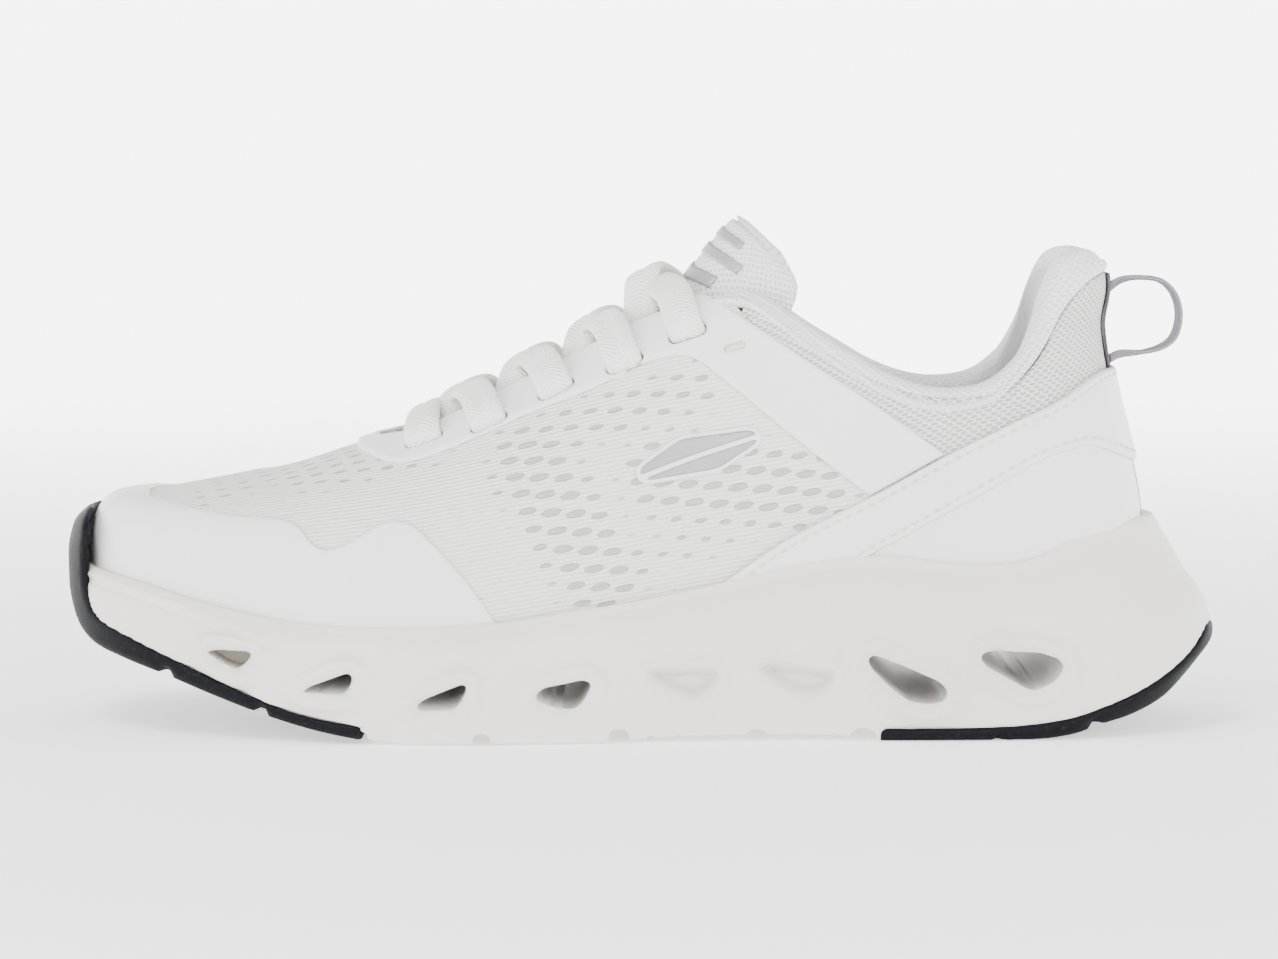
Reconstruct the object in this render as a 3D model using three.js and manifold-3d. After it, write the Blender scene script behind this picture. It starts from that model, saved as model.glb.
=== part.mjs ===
// Left running shoe: knit upper on a sculpted midsole, with tongue, laces, linings and heel pull loop.
// Millimetres. Toe towards -X, heel towards +X, outer side towards -Y, ground at z = 0.
import * as THREE from "three";
import { mergeVertices } from "three/addons/utils/BufferGeometryUtils.js";
import Module from "manifold-3d";

const wasm = await Module();
wasm.setup();

// ---- Driving dimensions -------------------------------------------------------------------------

const shoe = { length: 296, width: 108, height: 132 };
// The size that the pattern tables below are drawn for; they are graded from it to the shoe.
const pattern = { length: 296, width: 108, height: 132 };
const gap = 0.3;
const knit = 1.5;
const liningCloth = 1.0;
const film = 0.8;
const band = 1.0;
const board = 1.6;
const sockThickness = 4.5;
const counter = 1.4;
const puff = 0.8;
const collarPad = 5.4;
const tonguePad = 4.0;
const tongueCloth = 1.1;
const sheetGap = 0.9;
const sockGap = 0.7;
const lace = { width: 8, thickness: 2 };
const slot = { length: 10, width: 3.6 };
const liningSlot = { length: 11, width: 9.8 };
const spareSlot = { length: 5.5, width: 1.8 };
const aglet = { length: 16, radius: 1.3 };
const webbing = { width: 10, thickness: 1.2 };
const tapeWidth = 13;
const midsoleLip = 3.2;
const pocketDepth = 14;

const gradeX = shoe.length / pattern.length;
const gradeY = shoe.width / pattern.width;
const gradeZ = shoe.height / pattern.height;

// ---- Pattern tables, in pattern millimetres -----------------------------------------------------

const toeCentre = -95;
const heelCentre = 95;
const upper = {
  toe: -142,
  heel: 129,
  lateral: [[-95, -37], [-70, -44.5], [-45, -47], [-20, -45], [10, -39.5], [40, -36], [70, -36], [95, -36]],
  medial: [[-95, 44], [-70, 47], [-45, 44.5], [-20, 39], [10, 33.5], [40, 31], [70, 31.5], [95, 32]],
};
const sole = {
  toe: -148,
  heel: 148.5,
  lateral: [[-95, -45], [-70, -52], [-45, -54], [-20, -52], [10, -47.5], [40, -45.5], [70, -45.5], [95, -44.5]],
  medial: [[-95, 51], [-70, 54], [-45, 51.5], [-20, 46], [10, 41], [40, 39.5], [70, 40.5], [95, 40.5]],
};
const spine = [[-95, 3.5], [-45, -1], [10, -3], [95, -2]];
const footbed = [[-142, 33], [-120, 29], [-95, 25.5], [-70, 22.5], [-45, 21], [-20, 21.5], [10, 25], [40, 29],
  [70, 32], [95, 33.5], [129, 34]];
const ridge = [[-95, 64.4], [-88, 66.2], [-75, 70.6], [-67, 73.4], [-50, 80.5], [-31, 90], [-17, 97.5], [-3, 105.5],
  [5, 109.5], [20, 117], [40, 127], [60, 136], [95, 146]];
const soleBottom = [[-148, 32], [-145.5, 26.5], [-140, 22], [-131, 19.2], [-119.5, 15.8], [-106, 10.9],
  [-94, 6.8], [-82, 3.6], [-69.7, 1.4], [-60, 0.2], [-53, -0.6], [-20, -0.6], [0, 0.5], [15, 1], [50, 1], [58.5, -0.6], [88, -0.6], [99, 0.3],
  [109, 1.5], [117, 3.8], [124.5, 5.6], [133, 9], [140, 14], [148.5, 20]];
const soleTop = [[-148, 41], [-129.6, 38], [-110.6, 33.4], [-84.9, 29.3], [-59.5, 28.8], [-35.3, 30.1], [-19.7, 32.4],
  [2.8, 35.6], [19.1, 38.9], [40.4, 44], [55.5, 45.7], [65.6, 45.5], [80.7, 43.7], [93.2, 44], [103.4, 46.3],
  [116.7, 51.8], [148.5, 53.5]];

// Wall profiles: at a station, shares of the half width and of the height, from the feather edge to the top.
const wallProfiles = [
  { at: -95, out: [0.95, 1.0, 0.985, 0.90, 0.68, 0.36, 0], up: [0, 0.22, 0.45, 0.68, 0.86, 0.965, 1] },
  { at: -50, out: [0.95, 1.0, 0.96, 0.84, 0.62, 0.33, 0], up: [0, 0.2, 0.40, 0.62, 0.82, 0.95, 1] },
  { at: 0, out: [0.94, 0.985, 0.96, 0.87, 0.67, 0.36, 0], up: [0, 0.2, 0.42, 0.64, 0.83, 0.955, 1] },
  { at: 40, out: [0.94, 1.0, 0.985, 0.95, 0.87, 0.62, 0], up: [0, 0.2, 0.38, 0.58, 0.78, 0.93, 1] },
  { at: 70, out: [0.94, 1.0, 0.97, 0.92, 0.86, 0.66, 0], up: [0, 0.18, 0.34, 0.54, 0.74, 0.92, 1] },
  { at: 95, out: [0.94, 1.0, 0.97, 0.86, 0.76, 0.66, 0], up: [0, 0.15, 0.3, 0.48, 0.64, 0.82, 1] },
];
const toeProfile = { out: [0.97, 1.0, 0.985, 0.89, 0.66, 0.34, 0], up: [0, 0.25, 0.55, 0.77, 0.825, 0.91, 1] };
const heelProfile = { out: [0.96, 1.0, 0.93, 0.80, 0.715, 0.70, 0], up: [0, 0.17, 0.30, 0.45, 0.60, 0.76, 1] };

// Side outlines, as [x, z] from toe to heel.
const rim = [[14, 114.5], [21.9, 114.1], [30.5, 111.9], [40.4, 104.6], [52.9, 96.7], [65.4, 90.1], [78, 87.6],
  [90.7, 90.7], [98.5, 100.6], [103.7, 110.6], [107, 119], [110, 122], [113.5, 123.3], [117.5, 122], [120.5, 118]];
const rollSeam = [[15.8, 110.5], [30.9, 106.3], [41.1, 99.4], [51.1, 93.2], [61.4, 88.7], [71.7, 85.6], [81.9, 85.3],
  [92.2, 87], [100.8, 94.9], [106.3, 104.6], [110.7, 110.2], [114.7, 113.7], [118.9, 115.5]];
const toeCapEdge = [[-127.2, 62], [-127.2, 58.8], [-118.9, 57.3], [-103.2, 55], [-88.8, 54.2], [-85.2, 52.5],
  [-81.6, 48.9], [-78.8, 47.6], [-75.3, 48], [-68.7, 51.5], [-64.3, 54], [-60.2, 54.6], [-56.3, 53.6], [-51.8, 49.9],
  [-46.1, 44.1], [-39.5, 35.8], [-33, 26]];
const eyestayLower = [[-73.5, 90], [-73.2, 71.5], [-68.6, 69.5], [-63.1, 68], [-56.6, 68.6], [-45.4, 72.6],
  [-28.5, 80.2], [-11.6, 87], [-0.3, 92.6], [8.1, 95.2], [13.8, 94.8], [20.6, 90.1], [41.1, 73.4], [59.9, 59]];
const strapRear = [[77.5, 70.5], [61.4, 82], [41.1, 95.3], [21.2, 108.2], [15.8, 111]];
const bandTop = [[18, 37.2], [36.9, 49.9], [59.9, 61.4], [77.5, 71], [94.6, 79.2], [105, 84], [115.9, 90.5],
  [122, 91.5]];
const bandBottom = [[49, 40.5], [57.8, 45.7], [65.8, 50.1], [84.4, 60.2], [101.8, 69.8], [111.8, 72.5], [116.6, 71.5],
  [127, 66.6]];
const quarterSplit = [[13, 122], [33, 98], [55, 75], [70, 62], [80, 20]];
const counterTop = [[50, 20], [56, 58], [75, 66], [100, 74], [140, 76]];
const padBottom = [[17, 112], [30, 92], [45, 78], [56, 64.5], [75, 66.4], [100, 74.4], [140, 76.4]];
const throatEdge = [[-67, -1.5], [-65.5, -7], [-60, -12], [-50, -14.4], [-31, -14.7], [-17, -15.6], [-3, -16],
  [5, -17.5], [15.5, -19], [24, -22], [40, -26]];
const toeRubberTop = [[-160, 55.2], [-141.2, 55.2], [-141.8, 42.8], [-141.4, 35], [-138.5, 29], [-128.5, 24.6],
  [-118.5, 20.3], [-97.4, 11.2], [-84.9, 6.9], [-69.4, 4.4], [-67, -8]];
const heelRubberTop = [[60, -8], [60.5, 2.9], [85, 3.1], [99, 3.8], [112, 6.2], [124.5, 10.4], [134, 15.2], [141, 20.2],
  [146, 25.5], [160, 26.5]];

// Tunnels right through the midsole from side to side, as [x, z] outlines, and a blind pocket near the toe.
const tunnels = [
  [[-83.8, 12.6], [-82.1, 14.1], [-72.6, 17.8], [-71.1, 17.1], [-71.6, 14.3], [-73.4, 12.3]],
  [[-55.2, 9.8], [-53.3, 11.6], [-43.8, 15.4], [-42.5, 14.6], [-43.8, 11.1], [-45.8, 9.1], [-54.2, 8.8]],
  [[-25.8, 12.4], [-23.8, 14.2], [-13.6, 16.2], [-11.6, 14.9], [-13.6, 10.9], [-16.1, 8.7], [-20.6, 9.2],
    [-25, 10.9]],
  [[57.1, 20.7], [58.6, 21.7], [64.8, 19.4], [75.1, 14.9], [77.3, 12.4], [76.4, 9.9], [72.6, 9.1], [67.4, 9.9],
    [62.4, 13.7], [57.8, 18.4]],
  [[85.3, 20.7], [86.1, 22.2], [89.7, 22.7], [100.5, 22], [105, 20.4], [106.5, 18.2], [104.3, 14.9], [99.3, 12.4],
    [96.8, 12.9], [91, 16.2], [86.5, 18.7]],
];
const pocket = [[-108.5, 21.8], [-106, 22.5], [-97.7, 22.3], [-96.7, 21.3], [-99.3, 18.2], [-101, 17.7],
  [-104.5, 19.3]];
// Grooves across the tread, as [x, width, depth].
const grooves = [[-69.5, 4, 3.4], [-39, 4.2, 3], [-5, 5, 3.6], [6, 4, 2.6], [18, 4, 2.6], [29, 6, 3], [41, 4, 2.6],
  [55.6, 7, 3.2]];
const rubberGrooves = [[-119, 3, 1.8], [-94.5, 3, 1.8], [90, 2.2, 1.6], [114.5, 3, 1.8]];
// Lace slots: [x, reach from the spine line]; the last one stays empty.
const slots = [[-54.3, 21.4], [-37.7, 24.4], [-20.7, 23.2], [-3.5, 24.4], [12.4, 24]];
const spareSlotAt = { x: 24.1, reach: 28.6 };
const emblemOutline = [[-1, 65.5], [1.5, 63.6], [20, 66.6], [30.5, 73.4], [30.8, 76.6], [28, 78.4], [10, 76],
  [-0.6, 68.6]];
// Tongue: [x, z, half width, depth of the hollow] along its middle line, from the sewn end to the tip.
const tongueRows = [[-66, 65.8, 16, 3.6], [-50, 72.8, 19, 6.6], [-34, 80.6, 20, 8.6], [-17, 89.7, 20.5, 11],
  [-3, 98, 20, 14.5], [4.5, 104.6, 19, 18], [10.6, 113.2, 18.5, 24], [17.1, 121.8, 19.5, 26],
  [22.3, 127.8, 19.5, 23.5], [25.6, 131.3, 17, 18]];
const loopPath = [[120.9, 111.4], [124.6, 113.6], [129.7, 114.2], [134.8, 113.3], [138.2, 109.8], [139.5, 104.4],
  [138.2, 99], [135, 96.3], [129.9, 94.9], [124.2, 94.4], [121.6, 93.2]];
const loopAxis = { bottom: [127.4, 93], top: [126.1, 111] };

// ---- Curves --------------------------------------------------------------------------------------

// Smooth value at x through rows of [x, value], level beyond the ends.
function curve(rows, x) {
  const last = rows.length - 1;
  if (x <= rows[0][0]) return rows[0][1];
  if (x >= rows[last][0]) return rows[last][1];
  const k = rows.findIndex((row, i) => x <= rows[i + 1][0]);
  const steep = (i) => {
    const a = rows[Math.max(i - 1, 0)];
    const b = rows[Math.min(i + 1, last)];
    return (b[1] - a[1]) / (b[0] - a[0]);
  };
  const span = rows[k + 1][0] - rows[k][0];
  const u = (x - rows[k][0]) / span;
  const start = rows[k][1];
  const rise = rows[k + 1][1] - start;
  const blend = u * u * (3 - 2 * u);
  const swing = u * (1 - u) * ((1 - u) * steep(k) - u * steep(k + 1)) * span;
  return start + rise * blend + swing;
}

// Smooth step from 0 to 1 as value goes from low to high.
function ease(value, low, high) {
  const u = Math.min(Math.max((value - low) / (high - low), 0), 1);
  return u * u * (3 - 2 * u);
}

const mix = (a, b, share) => a.map((value, k) => value + (b[k] - value) * share);
const place = (point) => new THREE.Vector3(point[0] * gradeX, point[1] * gradeY, point[2] * gradeZ);

// ---- Solids --------------------------------------------------------------------------------------

// A closed geometry as a solid for cutting and joining.
function solid(geometry) {
  const bare = geometry.clone();
  bare.deleteAttribute("normal");
  bare.deleteAttribute("uv");
  const merged = mergeVertices(bare, 1e-4);
  return new wasm.Manifold(new wasm.Mesh({
    numProp: 3,
    vertProperties: merged.attributes.position.array,
    triVerts: new Uint32Array(merged.index.array),
  }));
}

// A rectangular grid of points that closes on itself round its rows, with a pole line at both ends of each row.
function closedGrid(rows) {
  const across = rows[0].length;
  const index = [];
  rows.forEach((row, i) => {
    const next = (i + 1) % rows.length;
    for (let j = 0; j + 1 < across; j += 1) {
      const corners = [i * across + j, next * across + j, next * across + j + 1, i * across + j + 1];
      index.push(corners[0], corners[1], corners[2], corners[0], corners[2], corners[3]);
    }
  });
  const geometry = new THREE.BufferGeometry().setFromPoints(rows.flat());
  geometry.setIndex(index);
  const merged = mergeVertices(geometry, 1e-3);
  const kept = [];
  for (let k = 0; k < merged.index.count; k += 3) {
    const [a, b, c] = [merged.index.getX(k), merged.index.getX(k + 1), merged.index.getX(k + 2)];
    if (a !== b && b !== c && a !== c) kept.push(a, b, c);
  }
  merged.setIndex(kept);
  return merged;
}

// A prism across the shoe from a side outline.
function sidePrism(outline, from = -90, to = 90) {
  const shape = new THREE.Shape(outline.map(([x, z]) => new THREE.Vector2(x * gradeX, z * gradeZ)));
  const geometry = new THREE.ExtrudeGeometry(shape, { depth: (to - from) * gradeY, bevelEnabled: false });
  geometry.rotateX(Math.PI / 2);
  geometry.translate(0, to * gradeY, 0);
  return solid(geometry);
}

// An upright prism from a plan outline.
function planPrism(outline, low, high) {
  const shape = new THREE.Shape(outline.map(([x, y]) => new THREE.Vector2(x * gradeX, y * gradeY)));
  const geometry = new THREE.ExtrudeGeometry(shape, { depth: (high - low) * gradeZ, bevelEnabled: false });
  geometry.translate(0, 0, low * gradeZ);
  return solid(geometry);
}

const highest = 210;
const lowest = -20;
const shifted = (line, dx, dz) => line.map(([x, z]) => [x + dx / gradeX, z + dz / gradeZ]);
const above = (line) => [[line[0][0], highest], ...line, [line[line.length - 1][0], highest]];
const below = (line) => [[line[0][0], lowest], ...line, [line[line.length - 1][0], lowest]];
const longer = (line) => [[-190, line[0][1]], ...line, [190, line[line.length - 1][1]]];

// ---- The form that the upper is shaped on ---------------------------------------------------------

// The wall profile at a station along the straight middle of the shoe.
function profileAt(x) {
  const column = (key, k) => curve(wallProfiles.map((p) => [p.at, p[key][k]]), x);
  const steps = toeProfile.out.map((_, k) => k);
  return { out: steps.map((k) => column("out", k)), up: steps.map((k) => column("up", k)) };
}

// Stations round an outline: straight sides, and a fan of rays round the toe and the heel.
function stations(outline, straight, fan) {
  const made = [];
  const side = (x, rows) => ({ centre: [x, curve(spine, x)], edge: [x, curve(rows, x)], x, turn: 0, end: "none" });
  const ray = (centreX, tipX, angle, end) => {
    const middle = curve(spine, centreX);
    const half = (angle < 0 ? curve(outline.lateral, centreX) : curve(outline.medial, centreX)) - middle;
    const edge = [centreX + (tipX - centreX) * Math.cos(angle), middle + half * Math.abs(Math.sin(angle))];
    return { centre: [centreX, middle], edge, x: centreX, turn: Math.cos(angle) ** 1.3, end };
  };
  for (let i = 0; i < straight; i += 1) {
    made.push(side(THREE.MathUtils.lerp(toeCentre, heelCentre, i / (straight - 1)), outline.lateral));
  }
  for (let i = 1; i < fan; i += 1) {
    made.push(ray(heelCentre, outline.heel, -Math.PI / 2 + (Math.PI * i) / fan, "heel"));
  }
  for (let i = 0; i < straight; i += 1) {
    made.push(side(THREE.MathUtils.lerp(heelCentre, toeCentre, i / (straight - 1)), outline.medial));
  }
  for (let i = 1; i < fan; i += 1) {
    made.push(ray(toeCentre, outline.toe, Math.PI / 2 - (Math.PI * i) / fan, "toe"));
  }
  return made;
}

const skirt = 8;
const wallLevels = 8;
const at = (station, share, z) => [
  station.centre[0] + (station.edge[0] - station.centre[0]) * share,
  station.centre[1] + (station.edge[1] - station.centre[1]) * share,
  z,
];

// The profile of a station, turned towards the toe's or the heel's own shape round the ends.
function stationProfile(station) {
  const base = profileAt(station.x);
  if (station.end === "none") return base;
  const own = station.end === "toe" ? toeProfile : heelProfile;
  return { out: mix(base.out, own.out, station.turn), up: mix(base.up, own.up, station.turn) };
}

// A point of the form on a station, at a share of the way from the feather edge to the top.
function wallPoint(station, share) {
  const profile = stationProfile(station);
  const along = share * (profile.out.length - 1);
  const out = curve(profile.out.map((value, k) => [k, value]), along);
  const up = curve(profile.up.map((value, k) => [k, value]), along);
  const low = curve(footbed, station.edge[0]);
  const high = curve(ridge, station.centre[0]);
  return at(station, out, low + (high - low) * up);
}

const formRows = stations(upper, 9, 7).map((station) => {
  const low = curve(footbed, station.edge[0]) - skirt;
  const row = [at(station, 0, curve(footbed, station.centre[0]) - skirt), at(station, 0.95, low)];
  for (let j = 0; j <= wallLevels; j += 1) row.push(wallPoint(station, j / wallLevels));
  return row;
});

const formCache = new Map();

// The form grown or shrunk along its normals by an offset that may depend on the place.
function form(name, offset) {
  if (formCache.has(name)) return formCache.get(name);
  const geometry = closedGrid(formRows.map((row) => row.map(place)));
  geometry.computeVertexNormals();
  const position = geometry.attributes.position;
  const normal = geometry.attributes.normal;
  for (let i = 0; i < position.count; i += 1) {
    const move = offset(position.getX(i) / gradeX, position.getZ(i) / gradeZ);
    position.setXYZ(i, position.getX(i) + normal.getX(i) * move, position.getY(i) + normal.getY(i) * move,
      position.getZ(i) + normal.getZ(i) * move);
  }
  const made = solid(geometry);
  formCache.set(name, made);
  return made;
}

// Room between the outer knit and the lining: the toe puff, the heel counter or the collar padding.
function room(x, z) {
  const toe = (puff + gap) * ease(-x, 80, 95);
  const heel = counter + gap + (collarPad - counter - gap) * ease(z, 58, 82);
  return toe + heel * ease(x, 0, 30);
}

const knitInside = -knit;
const stuffOutside = knitInside - gap;
const grown = (distance) => form(`grown ${distance}`, () => distance);
const roomForm = (extra) => form(`room ${extra}`, (x, z) => stuffOutside - room(x, z) - extra);
const knitLayer = grown(0).subtract(grown(knitInside));
const overlay = (low, thickness) => grown(low + thickness).subtract(grown(low));
const aboveFootbed = sidePrism(above(longer(footbed)));

// ---- Cuts that several pieces share ---------------------------------------------------------------

const throatPlan = [
  ...throatEdge,
  ...throatEdge.slice().reverse().map(([x, y]) => [x, 2 * curve(spine, x) - y]),
];
const throat = planPrism(throatPlan, 40, highest);
const footOpening = sidePrism([[rim[0][0] - 6, highest], ...rim, [160, 117], [160, highest]]);

// The straight station at x on side -1, the outer one, or 1.
function stationAt(x, side) {
  const outline = side < 0 ? upper.lateral : upper.medial;
  return { centre: [x, curve(spine, x)], edge: [x, curve(outline, x)], x, turn: 0, end: "none" };
}

// The place on the form at x and at a share of the way up its wall, with its outward normal.
function seatAt(x, side, share) {
  const station = stationAt(x, side);
  const point = place(wallPoint(station, share));
  const along = place(wallPoint(stationAt(x + 2, side), share)).sub(point).normalize();
  const upward = place(wallPoint(station, Math.min(share + 0.03, 1))).sub(place(wallPoint(station, share - 0.03)));
  const normal = along.clone().cross(upward).multiplyScalar(side < 0 ? 1 : -1).normalize();
  return { point, normal, along };
}

// How far up the wall the form is a given reach across from the spine line.
function shareAt(x, side, reach) {
  const station = stationAt(x, side);
  let low = 0.3;
  let high = 1;
  for (let step = 0; step < 24; step += 1) {
    const middle = (low + high) / 2;
    if (Math.abs(wallPoint(station, middle)[1] - station.centre[1]) > reach) low = middle;
    else high = middle;
  }
  return low;
}

const onForm = (x, side, reach) => seatAt(x, side, shareAt(x, side, reach));

// A slot cutter set square to the form.
function slotCutter(x, side, reach, size) {
  const seat = onForm(x, side, reach);
  const across = new THREE.Vector3().crossVectors(seat.normal, seat.along).normalize();
  const along = new THREE.Vector3().crossVectors(across, seat.normal).normalize();
  const geometry = new THREE.BoxGeometry(size.length, size.width, 16);
  geometry.applyMatrix4(new THREE.Matrix4().makeBasis(along, across, seat.normal).setPosition(seat.point));
  return solid(geometry);
}

const sides = [-1, 1];
const slotRow = (size) => sides.flatMap((side) => [
  ...slots.map(([x, reach]) => slotCutter(x, side, reach, size)),
  slotCutter(spareSlotAt.x, side, spareSlotAt.reach, spareSlot),
]).reduce((sum, next) => sum.add(next));
const slotCuts = slotRow(slot);
const liningSlotCuts = slotRow(liningSlot);

const frontPart = sidePrism([[-190, lowest], [-190, highest], ...shifted(quarterSplit, -gap / 2, 0)]
  .concat([[quarterSplit[quarterSplit.length - 1][0], lowest]]));
const rearPart = sidePrism([...shifted(quarterSplit, gap / 2, 0), [80, lowest], [190, lowest], [190, highest],
  [13, highest]]);

// ---- Upper ----------------------------------------------------------------------------------------

const underSeam = sidePrism(below([[-190, 115], ...shifted(rollSeam, 0, -gap), [190, 115]]));

function vampMesh() {
  return knitLayer.intersect(aboveFootbed).intersect(frontPart).subtract(throat).subtract(slotCuts)
    .subtract(footOpening).intersect(underSeam);
}

function collarMesh() {
  return knitLayer.intersect(aboveFootbed).intersect(rearPart).subtract(throat).subtract(footOpening)
    .subtract(slotCuts).intersect(underSeam);
}

function liningLayer() {
  return roomForm(gap).subtract(roomForm(gap + liningCloth)).intersect(aboveFootbed);
}

function vampLining() {
  return liningLayer().intersect(frontPart).subtract(throat).subtract(liningSlotCuts).subtract(footOpening)
    .intersect(underSeam);
}

// The collar lining folds over the top edge and comes down outside to the seam of the roll.
function collarLining() {
  const inside = liningLayer().intersect(rearPart);
  const overSeam = sidePrism(above([[14, 111], ...rollSeam, [160, 115.5]]));
  const roll = grown(0).subtract(roomForm(gap + liningCloth)).intersect(overSeam);
  const fold = liningCloth + gap;
  const underFold = sidePrism(below([[-190, 100], ...shifted(rim, 0, -fold), [160, 117 - fold]]));
  const stuffing = grown(-liningCloth).subtract(roomForm(gap)).intersect(underFold);
  return inside.add(roll.subtract(stuffing)).subtract(footOpening).subtract(throat).subtract(frontPart);
}

function collarFoam() {
  const fold = liningCloth + 2 * gap;
  const underFold = sidePrism(below([[-190, 100], ...shifted(rim, 0, -fold), [160, 117 - fold]]));
  const core = grown(stuffOutside).subtract(roomForm(0));
  return core.intersect(sidePrism(above([...padBottom, [160, padBottom[padBottom.length - 1][1]]])))
    .intersect(rearPart).intersect(underFold).subtract(throat).subtract(liningSlotCuts);
}

function heelCounter() {
  const core = grown(stuffOutside).subtract(grown(stuffOutside - counter));
  return core.intersect(aboveFootbed).intersect(sidePrism(below([...counterTop, [160, 76]])));
}

function toePuff() {
  const core = grown(stuffOutside).subtract(grown(stuffOutside - puff));
  return core.intersect(aboveFootbed).intersect(sidePrism([[-190, lowest], [-190, highest], [-104, highest],
    [-98, lowest]]));
}

function toeOverlay() {
  const region = sidePrism([[-190, lowest], [-190, 62], ...toeCapEdge, [-33, lowest]]);
  return overlay(gap, film).intersect(aboveFootbed).intersect(region);
}

function eyestayOverlay() {
  const region = sidePrism([[15.8, 140], [-73.5, 140], ...eyestayLower, ...strapRear]);
  return overlay(gap, film).intersect(region).subtract(throat).subtract(slotCuts).subtract(footOpening)
    .intersect(sidePrism(above(longer(shifted(bandTop, 0, gap)))))
    .intersect(underSeam);
}

const bandLow = 2 * gap + film;
const bandRegion = sidePrism([...bandTop, [160, 91.5], [160, 66.6], ...bandBottom.slice().reverse()]);
const aboveMidsole = sidePrism(above(longer(shifted(soleTop, 0, gap))));

function heelBand() {
  return overlay(bandLow, band).intersect(bandRegion).intersect(aboveMidsole);
}

const backStrip = (half) => planPrism([[100, -2 - half], [170, -2 - half], [170, -2 + half], [100, -2 + half]],
  lowest, highest);

function heelCover(side) {
  const region = sidePrism([[44, lowest], [44, 36], ...bandTop.slice(2), [160, 91.5], [160, lowest]]);
  const half = side < 0 ? planPrism([[0, -90], [170, -90], [170, -2], [0, -2]], lowest, highest)
    : planPrism([[0, -2], [170, -2], [170, 90], [0, 90]], lowest, highest);
  return overlay(gap, film).intersect(aboveFootbed).intersect(region).intersect(half)
    .subtract(backStrip(tapeWidth / 2 + gap));
}

function backTape() {
  return overlay(gap, film).intersect(aboveFootbed).intersect(backStrip(tapeWidth / 2)).intersect(underSeam);
}

function sideEmblem() {
  return overlay(gap, film).intersect(sidePrism(emblemOutline, -90, -10));
}

// ---- Tongue ---------------------------------------------------------------------------------------

const tongueAcross = 8;
const tongueAlong = 10;
const wingAngle = 1.35;

// The place on the tongue's face at u along its rows and v across, from -1 to 1.
function facePoint(u, v) {
  const middle = (key) => tongueRows.map((row, k) => [k, row[key]]);
  const spot = (at) => new THREE.Vector3(curve(middle(0), at) * gradeX, 0, curve(middle(1), at) * gradeZ);
  const last = tongueRows.length - 1;
  const along = spot(Math.min(u + 0.2, last)).sub(spot(Math.max(u - 0.2, 0))).normalize();
  const inward = new THREE.Vector3(along.z, 0, -along.x);
  const angle = v * wingAngle;
  const hollow = (curve(middle(3), u) * (1 - Math.cos(angle))) / (1 - Math.cos(wingAngle));
  const point = spot(u).addScaledVector(inward, hollow * gradeZ);
  const out = (Math.sin(angle) / Math.sin(wingAngle)) * curve(middle(2), u);
  point.y = (curve(spine, point.x / gradeX) + out) * gradeY;
  return point;
}

// A place at a depth below the tongue's face, along the face's normal.
function tonguePoint(u, v, depth) {
  const last = tongueRows.length - 1;
  const along = facePoint(Math.min(u + 0.3, last), v).sub(facePoint(Math.max(u - 0.3, 0), v));
  const across = facePoint(u, Math.min(v + 0.15, 1)).sub(facePoint(u, Math.max(v - 0.15, -1)));
  return facePoint(u, v).addScaledVector(along.cross(across).normalize(), -depth);
}

// A sheet of the tongue between two depths below its face.
function tongueSheet(top, bottom) {
  const rows = [];
  for (let i = 0; i <= tongueAlong; i += 1) {
    const u = ((tongueRows.length - 1) * i) / tongueAlong;
    const steps = Array.from({ length: tongueAcross + 1 }, (_, j) => (2 * j) / tongueAcross - 1);
    const face = steps.map((v) => tonguePoint(u, v, top));
    const back = steps.map((v) => tonguePoint(u, v, bottom));
    rows.push([...face, ...back.reverse()]);
  }
  return tubeSolid(rows);
}

// A solid from closed rings of points, one after another, with a flat fan of faces at both ends.
function tubeSolid(rings) {
  const around = rings[0].length;
  const index = [];
  for (let i = 0; i + 1 < rings.length; i += 1) {
    for (let j = 0; j < around; j += 1) {
      const next = (j + 1) % around;
      index.push(i * around + j, (i + 1) * around + j, (i + 1) * around + next);
      index.push(i * around + j, (i + 1) * around + next, i * around + next);
    }
  }
  const strip = Math.floor(around / 2);
  const cap = (base, turned) => {
    for (let j = 0; j + 1 < strip; j += 1) {
      const [a, b, c, d] = [j, j + 1, around - 2 - j, around - 1 - j].map((k) => base + k);
      if (turned) index.push(a, c, b, a, d, c);
      else index.push(a, b, c, a, c, d);
    }
  };
  cap(0, false);
  cap((rings.length - 1) * around, true);
  const geometry = new THREE.BufferGeometry().setFromPoints(rings.flat());
  geometry.setIndex(index);
  const made = solid(geometry);
  if (made.volume() > 0) return made;
  for (let k = 0; k < index.length; k += 3) [index[k + 1], index[k + 2]] = [index[k + 2], index[k + 1]];
  geometry.setIndex(index);
  return solid(geometry);
}

const foamTop = tongueCloth + sheetGap;
const tongueLiningTop = foamTop + tonguePad + sheetGap;

function tongueBadge() {
  const region = sidePrism([[2, 112], [18, 131], [44, 122], [32, 98]], -13, 8);
  return tongueSheet(-sheetGap - film, -sheetGap).intersect(region);
}

// ---- Lace -----------------------------------------------------------------------------------------

const laceSection = [[1, 0], [0.7, 1], [-0.7, 1], [-1, 0], [-0.7, -1], [0.7, -1]];
const overEyestay = gap + film + gap + lace.thickness / 2;
const underLining = stuffOutside - gap - liningCloth - 3 * gap - lace.thickness / 2;
// Heights of the lower and the upper strand over the form where they cross, from the toe up.
const crossings = [[-1, 2.4], [-1, 2.4], [-0.6, 2.8], [3.4, 6.8]];

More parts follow.
